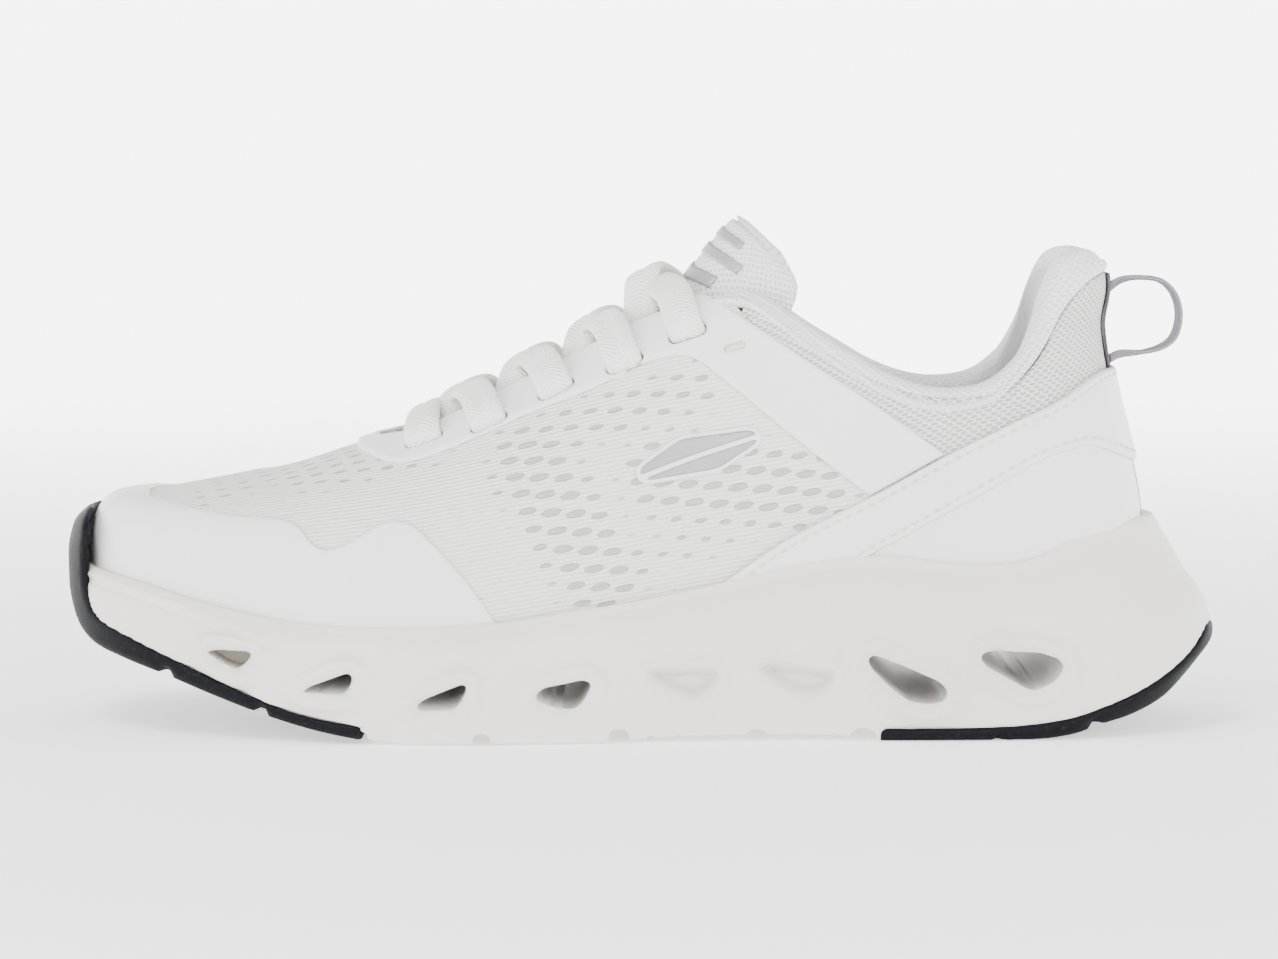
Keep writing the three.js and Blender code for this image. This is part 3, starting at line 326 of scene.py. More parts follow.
@dataclass(frozen=True)
class Rays:
    """Lines from the middle of the shoe out to an outline, one for each sample."""

    centre: Array
    edge: Array
    toe: Array
    heel: Array

    def at(self, share: Array | float, z: Array) -> Array:
        """Points at a share of the way along the rays and at heights z."""
        share = np.broadcast_to(share, z.shape)
        flat = self.centre + (self.edge - self.centre) * share[:, None]
        return np.column_stack([flat, z])

    def reach(self) -> Array:
        """How long each ray is."""
        return np.linalg.norm(self.edge - self.centre, axis=1)


@dataclass(frozen=True)
class Outline:
    """A plan outline: straight-sided from toe centre to heel centre, and a fan of rays round both ends."""

    toe: float
    heel: float
    lateral: Line
    medial: Line

    def rays(self, a: Array) -> Rays:
        """Rays at places round the outline.

        Args:
            a: 0 to 1 along the outer side, to 2 round the heel, to 3 along the inner side, to 4 round the toe.

        Returns:
            The rays.
        """
        a = np.mod(np.asarray(a, float), 4.0)
        leg = np.minimum(np.floor(a).astype(int), 3)
        f = a - leg
        run = HEEL_CENTRE - TOE_CENTRE
        x = np.select([leg == 0, leg == 1, leg == 2], [TOE_CENTRE + run * f, HEEL_CENTRE, HEEL_CENTRE - run * f],
                      TOE_CENTRE)
        middle = curve(SPINE, x)
        fan = leg % 2 == 1
        angle = np.select([leg == 1, leg == 3], [(f - 0.5) * math.pi, (0.5 - f) * math.pi], math.pi / 2)
        outer = (leg == 0) | (fan & (angle < 0))
        half = np.where(outer, curve(self.lateral, x), curve(self.medial, x)) - middle
        turn = np.where(fan, np.cos(angle), 0.0)
        reach = np.where(leg == 1, self.heel - HEEL_CENTRE, self.toe - TOE_CENTRE)
        lean = np.where(outer, self._lean(self.lateral), self._lean(self.medial)) * (leg == 3)
        edge_x = x + reach * turn
        edge_y = middle + half * np.abs(np.where(fan, np.sin(angle), 1.0))
        edge_y = edge_y - lean * np.abs(reach) * turn * (1 - turn) ** 2
        bend = np.clip(turn, 0, 1) ** 1.3
        return Rays(np.column_stack([x, middle]), np.column_stack([edge_x, edge_y]),
                    np.where(leg == 3, bend, 0), np.where(leg == 1, bend, 0))

    @staticmethod
    def _lean(rows: Line) -> float:
        """How much the outline slants where its straight side meets the toe."""
        return (rows[1][1] - rows[0][1]) / (rows[1][0] - rows[0][0])


UPPER = Outline(-142, 129,
                [[-95, -37], [-70, -44.5], [-45, -47], [-20, -45], [10, -39.5], [40, -36], [70, -36], [95, -36]],
                [[-95, 44], [-70, 47], [-45, 44.5], [-20, 39], [10, 33.5], [40, 31], [70, 31.5], [95, 32]])
SOLE = Outline(-148, 148.5,
               [[-95, -45], [-70, -52], [-45, -54], [-20, -52], [10, -47.5], [40, -45.5], [70, -45.5], [95, -44.5]],
               [[-95, 51], [-70, 54], [-45, 51.5], [-20, 46], [10, 41], [40, 39.5], [70, 40.5], [95, 40.5]])


class Surface:
    """A smooth surface in pattern millimetres, read at a place round the shoe and a place across the wall."""

    a_step = 0.004
    b_step = 0.01
    b_low = 0.0
    b_high = 1.0

    def point(self, a: Array, b: Array) -> Array:
        """Points at places a round the shoe and b across the wall."""
        raise NotImplementedError

    def normal(self, a: Array, b: Array) -> Array:
        """Unit normals that point out of the shoe."""
        along = self.point(a + self.a_step, b) - self.point(a - self.a_step, b)
        low, high = np.maximum(b - self.b_step, self.b_low), np.minimum(b + self.b_step, self.b_high)
        across = self.point(a, high) - self.point(a, low)
        made = np.cross(along, across)
        length = np.linalg.norm(made, axis=1)[:, None]
        return np.where(length > 1e-9, made / np.maximum(length, 1e-9), [0, 0, 1])


class Last(Surface):
    """The foot form that the upper is shaped on: b runs from the feather edge, 0, to the top, 1."""

    def point(self, a: Array, b: Array) -> Array:
        """Points of the form at places a round it and shares b of the way up its wall."""
        rays = UPPER.rays(a)
        x = rays.centre[:, 0]
        out = curve(np.column_stack([WALL_AT, WALL_OUT]), x)
        up = curve(np.column_stack([WALL_AT, WALL_UP]), x)
        for bend, own_out, own_up in ((rays.toe, TOE_OUT, TOE_UP), (rays.heel, HEEL_OUT, HEEL_UP)):
            out = out + (np.array(own_out) - out) * bend[:, None]
            up = up + (np.array(own_up) - up) * bend[:, None]
        shape = thread(np.stack([out, up], axis=2), b * (len(TOE_UP) - 1), limited=False, crest=(1,))
        low, high = curve(FOOTBED, rays.edge[:, 0]), curve(RIDGE, x)
        return rays.at(shape[:, 0], low + (high - low) * shape[:, 1])

    def seat(self, x: float, side: int, share: float) -> tuple[Array, Array, Array]:
        """The place at x on one side, at a share of the way up, with its normal and the direction along the shoe.

        Args:
            x: The place along the shoe.
            side: -1 on the outer side, 1 on the inner side.
            share: The share of the way up the wall.

        Returns:
            The place, the normal and the direction.
        """
        a = np.array([around(x, side)])
        b = np.array([share])
        along = self.point(a - side * 0.01, b)[0] - self.point(a, b)[0]
        return self.point(a, b)[0], self.normal(a, b)[0], along / np.linalg.norm(along)

    def share_at(self, x: float, side: int, reach: float) -> float:
        """How far up the wall the form is a given reach across from its middle line.

        Args:
            x: The place along the shoe.
            side: -1 on the outer side, 1 on the inner side.
            reach: The distance from the middle line.

        Returns:
            The share of the way up the wall.
        """
        share = np.linspace(0.3, 1, 400)
        a = np.full(share.shape, around(x, side))
        across = np.abs(self.point(a, share)[:, 1] - curve(SPINE, np.array([x]))[0])
        return float(share[np.nonzero(across > reach)[0][-1]])


class SoleWall(Surface):
    """The sole: b counts control points from the middle of the tread, over the wall, and down into the cup."""

    b_high = 14.0
    b_step = 0.04
    lip_width = 3.2
    cup_share = 0.97
    cup_depth = 2.2

    def controls(self, a: Array) -> Array:
        """Control points of the profile at each place round the sole."""
        rays, inner = SOLE.rays(a), UPPER.rays(a)
        reach, reach_in = rays.reach(), inner.reach()
        heel = rays.heel
        low, top = curve(SOLE_BOTTOM, rays.edge[:, 0]), curve(SOLE_TOP, rays.edge[:, 0])
        tall = top - low
        lip = np.minimum((reach_in + self.lip_width) / reach, 0.97)

        def under(share: Array | float) -> Array:
            """Points of the tread at a share of the way out."""
            x = rays.centre[:, 0] + (rays.edge[:, 0] - rays.centre[:, 0]) * share
            return rays.at(share, curve(SOLE_BOTTOM, x))

        def towards(side: Array | float, back: float) -> Array:
            """A value for the sides that becomes another round the heel."""
            return side + (back - side) * heel

        lifted = under(towards(0.975, 0.955))
        lifted[:, 2] += tall * towards(0.1, 0.03)
        floor = curve(FOOTBED, inner.edge[:, 0])
        middle = curve(FOOTBED, inner.centre[:, 0])
        return np.stack([
            under(0.0), under(0.4), under(0.7), under(0.84), under(towards(0.93, 0.9)), lifted,
            rays.at(1.0, low + tall * towards(0.3, 0.1)),
            rays.at(towards(0.99, 0.98), low + tall * towards(0.6, 0.3)),
            rays.at(towards((lip + 1) / 2, 0.85), low + tall * towards(0.84, 0.62)),
            rays.at(towards(lip, 0.765), top - tall * towards(0.06, 0.14)),
            rays.at(towards(lip - 0.035, 0.7), top),
            inner.at(self.cup_share, top - 0.8),
            inner.at(self.cup_share, floor + 2.5),
            inner.at(0.9, floor - self.cup_depth),
            inner.at(0.0, middle - self.cup_depth),
        ], axis=1)

    def point(self, a: Array, b: Array) -> Array:
        """Points of the sole."""
        return thread(self.controls(a), b)


class TreadWall(SoleWall):
    """The rubber's surface: the sole's own, carried on up over the nose of the toe."""

    b_high = 9.0

    def controls(self, a: Array) -> Array:
        """Control points of the profile, with the nose blended in round the toe."""
        rows = super().controls(a)[:, :10]
        rays = SOLE.rays(a)
        nose = ease(rays.toe, 0.05, 0.75)[:, None]
        for k, (share, z) in enumerate([(1.0, 35.5), (1.002, 43), (0.975, 50.5), (0.885, 55.6)], start=6):
            own = rays.at(share, np.full(len(a), z))
            rows[:, k] += (own - rows[:, k]) * nose
        return rows


LAST, SOLE_WALL, TREAD_WALL = Last(), SoleWall(), TreadWall()
LEG_LENGTH = (190.0, 112.0, 190.0, 150.0)


def around(x: float, side: int) -> float:
    """The place round the shoe at x on the outer side, -1, or the inner side, 1."""
    share = (x - TOE_CENTRE) / (HEEL_CENTRE - TOE_CENTRE)
    return share if side < 0 else 3 - share


def stops(start: float, end: float, pitch: float) -> Array:
    """Places round the shoe from start to end, about a pitch in millimetres apart.

    Args:
        start: The first place.
        end: The last place.
        pitch: The distance from one to the next.

    Returns:
        The places, each leg's ends among them.
    """
    marks = [start] + [float(k) for k in range(math.floor(start) + 1, math.ceil(end))] + [end]
    made = [np.array([start])]
    for low, high in zip(marks[:-1], marks[1:]):
        length = LEG_LENGTH[math.floor(low + 1e-9) % 4] * (high - low)
        made.append(np.linspace(low, high, max(int(length / pitch), 2) + 1)[1:])
    return np.concatenate(made)


def arc_coordinates(surface: Surface, a: Array, b: Array) -> Array:
    """Cloth coordinates in millimetres: along the shoe, and up its wall from the height of the feather edge.

    Args:
        surface: The surface that the cloth lies on.
        a: Places round it.
        b: Places up its wall, from 0 to 1.

    Returns:
        The two coordinates of each place.
    """
    rays = UPPER.rays(a)
    leg, f = np.floor(np.mod(a, 4.0)), np.mod(a, 1.0)
    x = rays.centre[:, 0]
    count = ARC_STEPS + 1
    grid = np.linspace(0, 1, count)

    def climb(places: Array) -> Array:
        """Lengths up the wall at places round it, from the height of its foot."""
        flat = surface.point(np.repeat(places, count), np.tile(grid, len(places))).reshape(len(places), count, 3)
        run = np.cumsum(np.linalg.norm(np.diff(flat, axis=1), axis=2), axis=1)
        return np.concatenate([np.zeros((len(places), 1)), run], axis=1) + flat[:, :1, 2]

    places, inverse = np.unique(np.round(a, 5), return_inverse=True)
    run = climb(places)
    spot = np.clip(b, 0, 1) * ARC_STEPS
    k = np.minimum(spot.astype(int), ARC_STEPS - 1)
    up = run[inverse, k] + (run[inverse, k + 1] - run[inverse, k]) * (spot - k)
    below_top = run[inverse, -1] - up
    outer, inner = climb(grid)[:, -1], climb(3 - grid)[:, -1]
    level = np.interp(x, TOE_CENTRE + (HEEL_CENTRE - TOE_CENTRE) * grid, outer - inner)
    up = up + level * np.select([leg == 2, leg == 1], [1.0, f], 0.0)
    turn = (0.5 - f) * math.pi
    up = np.where(leg == 3, outer[0] - below_top * np.abs(np.sin(turn)), up)
    along = np.where(leg == 3, TOE_CENTRE - below_top * np.cos(turn), x)
    along = np.where(leg == 1, HEEL_CENTRE + (0.5 - np.abs(f - 0.5)) * HEEL_CLOTH, along)
    return np.column_stack([along, up])


# ---- Meshes -------------------------------------------------------------------------------------

Region = Callable[[Array], Array]
Lift = Callable[[Array, Array], "Array | float"]


class Body(str, Enum):
    """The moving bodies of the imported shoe."""

    SHOE = "shoe"
    TONGUE = "tongue"
    INSOLE = "insole"
    LOOP = "loop"


def grid_mesh(across: int, up: int) -> tuple[bmesh.types.BMesh, Array]:
    """A flat grid, with each vertex's place on it as shares from 0 to 1."""
    bm = bmesh.new()
    bmesh.ops.create_grid(bm, x_segments=across, y_segments=up, size=1.0)
    flat = np.array([v.co[:2] for v in bm.verts])
    return bm, (flat + 1) / 2


def place_vertices(bm: bmesh.types.BMesh, points: Array) -> None:
    """Moves each vertex to its point."""
    for vert, point in zip(bm.verts, points):
        vert.co = point


def weld(bm: bmesh.types.BMesh) -> None:
    """Merges the vertices that lie on each other."""
    bmesh.ops.remove_doubles(bm, verts=bm.verts, dist=WELD)


def keep_cloth(bm: bmesh.types.BMesh, cloth: Array) -> None:
    """Keeps each vertex's cloth coordinates, in millimetres."""
    layer = bm.verts.layers.float_vector.new("cloth")
    for vert, spot in zip(bm.verts, cloth):
        vert[layer] = (float(spot[0]), float(spot[1]), 0)


def spread(share: Array, marks: Array) -> Array:
    """The values at shares of the way through a row of marks."""
    return np.interp(share, np.linspace(0, 1, len(marks)), marks)


@dataclass
class Cut:
    """A fine grid over a curved surface, trimmed to a region and given steps along the region's edge."""

    surface: Surface
    a_stops: Array
    b_stops: Array
    snap: float = 0.07
    touching: float = 1e-6
    bm: bmesh.types.BMesh = field(init=False)
    points: Array = field(init=False)

    def __post_init__(self) -> None:
        """Lays the grid out over the surface."""
        self.bm, flat = grid_mesh(len(self.a_stops) - 1, len(self.b_stops) - 1)
        self.layers = [self.bm.verts.layers.float.new(name) for name in ("around", "across", "reach")]
        self._write(self.layers[0], spread(flat[:, 0], self.a_stops))
        self._write(self.layers[1], spread(flat[:, 1], self.b_stops))

    def _write(self, layer: object, values: Array) -> None:
        """Writes a value to every vertex's place in a layer."""
        for vert, value in zip(self.bm.verts, values):
            vert[layer] = float(value)

    def read(self, which: int) -> Array:
        """One layer's value at every vertex: 0 the place round, 1 the place across, 2 the reach inside."""
        layer = self.layers[which]
        return np.array([v[layer] for v in self.bm.verts])

    def trim(self, region: Region, levels: Sequence[float] = (0.0,)) -> "Cut":
        """Puts edges along the levels of a region and drops what is outside it.

        Args:
            region: Signed distance inside the region at points, in millimetres.
            levels: Distances inside the edge at which edges are put, 0 among them.

        Returns:
            This cut.
        """
        self._write(self.layers[2], region(self.surface.point(self.read(0), self.read(1))))
        for level in levels:
            self._score(region, level)
        reach = self.layers[2]
        lost = [v for v in self.bm.verts if v[reach] < -self.touching]
        bmesh.ops.delete(self.bm, geom=lost, context="VERTS")
        far = [f for f in self.bm.faces if all(abs(v[reach]) < self.touching for v in f.verts)]
        if far:
            a, b = (np.array([np.mean([v[layer] for v in f.verts]) for f in far]) for layer in self.layers[:2])
            out = region(self.surface.point(a, b)) < 0
            bmesh.ops.delete(self.bm, geom=[f for f, o in zip(far, out) if o], context="FACES")
        loose = [v for v in self.bm.verts if not v.link_faces]
        bmesh.ops.delete(self.bm, geom=loose, context="VERTS")
        return self

    def _score(self, region: Region, level: float) -> None:
        """Splits the grid where the region's distance passes a level.

        Args:
            region: Signed distance inside the region at points, in millimetres.
            level: The distance that gets edges.
        """
        la, lb, reach = self.layers
        on_line = []
        for vert in self.bm.verts:
            if abs(vert[reach] - level) < self.snap:
                vert[reach] = level
                on_line.append(vert)
        crossing = [e for e in self.bm.edges
                    if (e.verts[0][reach] - level) * (e.verts[1][reach] - level) < -1e-12
                    and min(abs(e.verts[0][reach] - level), abs(e.verts[1][reach] - level)) > self.touching]
        if not crossing:
            return
        ends = np.array([[[v[la], v[lb], v[reach] - level] for v in e.verts] for e in crossing])
        low, high = np.zeros(len(crossing)), np.ones(len(crossing))
        at_low, at_high = ends[:, 0, 2], ends[:, 1, 2]
        share = at_low / (at_low - at_high)
        for _ in range(3):
            spot = ends[:, 0, :2] + (ends[:, 1, :2] - ends[:, 0, :2]) * share[:, None]
            value = region(self.surface.point(spot[:, 0], spot[:, 1])) - level
            same = value * at_low > 0
            low, at_low = np.where(same, share, low), np.where(same, value, at_low)
            high, at_high = np.where(same, high, share), np.where(same, at_high, value)
            gap = np.where(np.abs(at_low - at_high) > 1e-9, at_low - at_high, 1)
            share = np.clip(low + (high - low) * np.clip(at_low / gap, 0.05, 0.95), 0.02, 0.98)
        for edge, end, f in zip(crossing, ends, share):
            _, vert = bmesh.utils.edge_split(edge, edge.verts[0], float(f))
            vert[la] = float(end[0, 0] + (end[1, 0] - end[0, 0]) * f)
            vert[lb] = float(end[0, 1] + (end[1, 1] - end[0, 1]) * f)
            vert[reach] = level
            on_line.append(vert)
        bmesh.ops.connect_verts(self.bm, verts=on_line)

    def shape(self, lift: Lift) -> "Cut":
        """Moves every vertex to the surface, lifted off it by lift(points, reach) millimetres.

        Args:
            lift: Gives the height over the surface from the points and their reach.

        Returns:
            This cut.
        """
        a, b, reach = self.read(0), self.read(1), self.read(2)
        self.points = self.surface.point(a, b)
        height = np.broadcast_to(lift(self.points, reach), a.shape)
        made = self.points + self.surface.normal(a, b) * height[:, None]
        made[:, 2] = np.maximum(made[:, 2], 0)
        keep_cloth(self.bm, arc_coordinates(LAST, a, b) if self.surface is LAST else side_view(self.points))
        place_vertices(self.bm, metres(made))
        return self

    def contour(self, level: float) -> list[tuple[Array, Array]]:
        """Lines of points and normals along which the reach has a level that edges were put at.

        Args:
            level: The level, one of those given to trim.

        Returns:
            The lines, in metres.
        """
        self.bm.normal_update()
        reach = self.layers[2]
        left = dict.fromkeys(v for v in self.bm.verts if abs(v[reach] - level) < 1e-5)
        lines = []
        while left:
            ends = (v for v in left if sum(e.other_vert(v) in left for e in v.link_edges) == 1)
            start = next(ends, next(iter(left)))
            chain = [start]
            left.pop(start)
            while True:
                ahead = [e.other_vert(chain[-1]) for e in chain[-1].link_edges if e.other_vert(chain[-1]) in left]
                if not ahead:
                    break
                chain.append(ahead[0])
                left.pop(ahead[0])
            if len(chain) > 8:
                lines.append((np.array([v.co[:] for v in chain]), np.array([v.normal[:] for v in chain])))
        return lines

    def value(self, name: str, numbers: Array) -> "Cut":
        """Keeps a named number on every vertex."""
        self._write(self.bm.verts.layers.float.new(name), numbers)
        return self

    def finish(self, name: str) -> bpy.types.Object:
        """Makes the piece, with its cloth coordinates and other values on its vertices."""
        weld(self.bm)
        return new_piece(name, self.bm)


def new_piece(name: str, bm: bmesh.types.BMesh, smooth: bool = True) -> bpy.types.Object:
    """A piece from a finished bmesh, at the origin.

    Args:
        name: The piece's name.
        bm: Its shape, which is freed.
        smooth: Whether its faces are shaded smooth.

    Returns:
        The piece.
    """
    mesh = bpy.data.meshes.new(name)
    bm.to_mesh(mesh)
    bm.free()
    if smooth:
        mesh.shade_smooth()
    piece = bpy.data.objects.new(name, mesh)
    bpy.context.scene.collection.objects.link(piece)
    return piece


def thicken(piece: bpy.types.Object, thickness: float) -> bpy.types.Object:
    """Gives a sheet a wall that goes inwards, in millimetres.

    Args:
        piece: The sheet.
        thickness: How thick it becomes.

    Returns:
        The same piece.
    """
    wall = piece.modifiers.new("Wall", "SOLIDIFY")
    wall.thickness = thickness * MM
    wall.offset = -1
    wall.use_quality_normals = False
    return piece


def settle(piece: bpy.types.Object) -> None:
    """Turns a piece's modifiers into its mesh."""
    graph = bpy.context.evaluated_depsgraph_get()
    made = bpy.data.meshes.new_from_object(piece.evaluated_get(graph), preserve_all_data_layers=True, depsgraph=graph)
    old = piece.data
    name = old.name
    piece.modifiers.clear()
    piece.data = made
    bpy.data.meshes.remove(old)
    made.name = name


def prism(bm: bmesh.types.BMesh, outline: Line, low: float, high: float) -> None:
    """Adds a prism across the shoe, from a side outline, between two places across it.

    Args:
        bm: The bmesh that gets it.
        outline: Its outline seen from the side.
        low: Where it starts across the shoe.
        high: Where it ends.
    """
    points = np.asarray(outline, float)
    ring = [bm.verts.new(metres(np.array([[x, low, z]]))[0]) for x, z in points]
    face = bm.faces.new(ring)
    grown = bmesh.ops.extrude_face_region(bm, geom=[face])
    moved = [v for v in grown["geom"] if isinstance(v, bmesh.types.BMVert)]
    bmesh.ops.translate(bm, verts=moved, vec=(0, (high - low) * MM, 0))


def carve(piece: bpy.types.Object, prisms: Iterable[tuple[Array, float, float]]) -> None:
    """Cuts prisms out of a closed piece.

    Args:
        piece: The piece to cut.
        prisms: An outline and the two places across the shoe of each.
    """
    bm = bmesh.new()
    for outline, low, high in prisms:
        prism(bm, outline, low, high)
    bmesh.ops.recalc_face_normals(bm, faces=bm.faces)
    tool = new_piece(piece.name + "_cutter", bm, smooth=False)
    cut = piece.modifiers.new("Cut", "BOOLEAN")
    cut.object = tool
    cut.operation = "DIFFERENCE"
    cut.solver = "EXACT"
    settle(piece)
    mesh = tool.data
    bpy.data.objects.remove(tool)
    bpy.data.meshes.remove(mesh)


def loft(name: str, point: Callable[[Array, Array], Array], rows: int, around_count: int,
         cloth: Callable[[Array, Array], Array]) -> bpy.types.Object:
    """A closed piece from rings of points: u runs along it from 0 to 1, and w round it from 0 to 1.

    Args:
        name: The piece's name.
        point: Gives points in millimetres at u and w.
        rows: How many steps it has along it.
        around_count: How many steps it has round it.
        cloth: Gives cloth coordinates at u and w.

    Returns:
        The piece.
    """
    bm, flat = grid_mesh(rows, around_count)
    place_vertices(bm, metres(point(flat[:, 0], flat[:, 1])))
    keep_cloth(bm, cloth(flat[:, 0], flat[:, 1]))
    weld(bm)
    rim = [e for e in bm.edges if e.is_boundary]
    if rim:
        bmesh.ops.holes_fill(bm, edges=rim, sides=0)
    bmesh.ops.recalc_face_normals(bm, faces=bm.faces)
    return new_piece(name, bm)


# ---- Finishes -----------------------------------------------------------------------------------

Number = "Term | float"


@dataclass
class Term:
    """A number on a material's graph, which arithmetic adds Math nodes to."""

    desk: "Desk"
    socket: bpy.types.NodeSocket

    def __add__(self, other: Number) -> "Term":
        """This plus other."""
        return self.desk.math("ADD", self, other)

    def __sub__(self, other: Number) -> "Term":
        """This minus other."""
        return self.desk.math("SUBTRACT", self, other)

    def __rsub__(self, other: Number) -> "Term":
        """Other minus this."""
        return self.desk.math("SUBTRACT", other, self)

    def __mul__(self, other: Number) -> "Term":
        """This times other."""
        return self.desk.math("MULTIPLY", self, other)

    def __truediv__(self, other: Number) -> "Term":
        """This divided by other."""
        return self.desk.math("DIVIDE", self, other)

    __radd__, __rmul__ = __add__, __mul__


class Desk:
    """Where one material is put together."""

    def __init__(self, name: str) -> None:
        """Starts a material with a plain shader."""
        self.material = bpy.data.materials.new(name)
        self.material.use_nodes = True
        self.tree = self.material.node_tree
        self.shader = self.tree.nodes["Principled BSDF"]

    def node(self, kind: str, settings: dict | None = None, **inputs: object) -> bpy.types.Node:
        """Adds a node.

        Args:
            kind: The node's type.
            settings: Its settings, by name.
            inputs: Values or links for its sockets, by name or as i0, i1 for a socket's number.

        Returns:
            The node.
        """
        made = self.tree.nodes.new(kind)
        for key, value in (settings or {}).items():
            setattr(made, key, value)
        for key, value in inputs.items():
            self.join(made.inputs[int(key[1:])] if key[0] == "i" and key[1:].isdigit() else made.inputs[key], value)
        return made

    def join(self, socket: bpy.types.NodeSocket, value: object) -> None:
        """Links a term or a socket to a socket, or sets its value."""
        if isinstance(value, Term):
            value = value.socket
        if isinstance(value, bpy.types.NodeSocket):
            self.tree.links.new(value, socket)
        elif isinstance(value, tuple) and len(value) == 3 and socket.type == "RGBA":
            socket.default_value = (*value, 1)
        else:
            socket.default_value = value

    def math(self, operation: str, *values: Number) -> Term:
        """A Math node on numbers or terms."""
        made = self.node("ShaderNodeMath", {"operation": operation}, **{f"i{k}": v for k, v in enumerate(values)})
        return Term(self, made.outputs[0])

    def number(self, name: str) -> Term:
        """A number that the piece's vertices hold."""
        return Term(self, self.node("ShaderNodeAttribute", {"attribute_name": name}).outputs["Fac"])

    def cloth(self) -> tuple[Term, Term]:
        """The cloth coordinates, in millimetres."""
        parts = self.node("ShaderNodeSeparateXYZ", i0=self.cloth_vector())
        return Term(self, parts.outputs[0]), Term(self, parts.outputs[1])

    def cloth_vector(self) -> bpy.types.NodeSocket:
        """The cloth coordinates as a vector."""
        return self.node("ShaderNodeAttribute", {"attribute_name": "cloth"}).outputs["Vector"]

    def place(self) -> bpy.types.NodeSocket:
        """The place on the object, in metres."""
        return self.node("ShaderNodeTexCoord").outputs["Object"]

    def noise(self, where: bpy.types.NodeSocket, scale: float, detail: float = 2.0) -> Term:
        """Soft noise from 0 to 1."""
        made = self.node("ShaderNodeTexNoise", Vector=where, Scale=scale, Detail=detail)
        return Term(self, made.outputs["Fac"])

    def mix(self, share: Number, first: object, second: object) -> bpy.types.NodeSocket:
        """A colour between two."""
        made = self.node("ShaderNodeMix", {"data_type": "RGBA"}, i0=share)
        self.join(made.inputs[6], first)
        self.join(made.inputs[7], second)
        return made.outputs[2]

    def smooth(self, value: Number, low: float, high: float) -> Term:
        """0 below low, 1 above high, and smooth between."""
        made = self.node("ShaderNodeMapRange", {"interpolation_type": "SMOOTHSTEP"}, i0=value, i1=low, i2=high)
        return Term(self, made.outputs[0])

    def wave(self, value: Term, pitch: float) -> Term:
        """Ripples from 0 to 1, a pitch apart."""
        return self.math("SINE", value * (2 * math.pi / pitch)) * 0.5 + 0.5

    def ovals(self, u: Term, v: Term, lattice: "Lattice", size: Number = 1.0) -> Term:
        """Ovals on a slanted lattice, 1 inside them.

        Args:
            u: The coordinate along the cloth.
            v: The coordinate up the cloth.
            lattice: Where the ovals are and how large.
            size: How much of their full size they have.

        Returns:
            1 in an oval, 0 between them.
        """
        (ax, ay), (bx, by) = lattice.along, lattice.up
        area = ax * by - ay * bx
        i, j = (u * by - v * bx) / area, (v * ax - u * ay) / area
        di = self.math("FRACT", i) - 0.5
        dj = self.math("FRACT", j) - 0.5
        x, y = di * ax + dj * bx, di * ay + dj * by
        turn = math.radians(lattice.tilt)
        long = (x * math.cos(turn) + y * math.sin(turn)) / lattice.length
        short = (y * math.cos(turn) - x * math.sin(turn)) / lattice.height
        far = long * long + short * short
        return self.smooth(size - far, -0.15, 0.25)

    def bump(self, height: Number, millimetres: float) -> bpy.types.NodeSocket:
        """A bump of a height of millimetres where height is 1."""
        return self.node("ShaderNodeBump", Strength=1.0, Distance=millimetres * MM, Height=height).outputs["Normal"]

    def done(self, **sockets: object) -> bpy.types.Material:
        """Sets the shader's sockets, with _ for a space in their names, and hands the material over."""
        for key, value in sockets.items():
            self.join(self.shader.inputs[key.replace("_", " ")], value)
        return self.material


@dataclass(frozen=True)
class Lattice:
    """A slanted lattice of ovals: two steps, half sizes and tilt, in millimetres and degrees."""

    along: tuple[float, float]
    up: tuple[float, float]
    length: float
    height: float
    tilt: float


@dataclass(frozen=True)
class RibKnit:
    """Fine ribbed knit with tiny stitches across the ribs, and openings where its vertices say so, with painted shade
    in the rib grooves and the openings.
    """

    light: tuple = (0.82, 0.82, 0.795)
    # The dark colour is painted shade in the rib grooves, and the hole colour is painted shade in the openings.
    dark: tuple = (0.65, 0.65, 0.61)
    hole_shade: tuple = (0.40, 0.40, 0.335)
    pitch: float = 1.1
    slant: float = math.tan(math.radians(9))
    openings: Lattice = Lattice((6.2, -0.45), (1.5, -4.6), 2.5, 0.92, 11)

    def make(self, name: str) -> bpy.types.Material:
        """Builds the material."""
        desk = Desk(name)
        u, v = desk.cloth()
        wobble = desk.noise(desk.cloth_vector(), 0.5, 1) * 0.5
        across = v - u * self.slant + wobble
        rib = desk.wave(across, self.pitch)
        row = desk.math("FLOOR", across / self.pitch)
        stitch = desk.wave(u + row * 0.45, 0.95)
        open_share = desk.ovals(u, v + wobble, self.openings, desk.number("open"))
        yarn = rib * (0.7 + stitch * 0.3)
        # Painted shade: darker towards the rib grooves and between the stitches, following the bump's height, and
        # darkest in the openings.
        tone = desk.smooth(yarn, 0.0, 0.75)
        ground = desk.mix(tone, self.dark, self.light)
        colour = desk.mix(open_share * 0.9, ground, self.hole_shade)
        height = yarn * 0.6 - open_share * 1.4
        return desk.done(Base_Color=colour, Roughness=0.85, Normal=desk.bump(height, 0.35), Specular_IOR_Level=0.25)


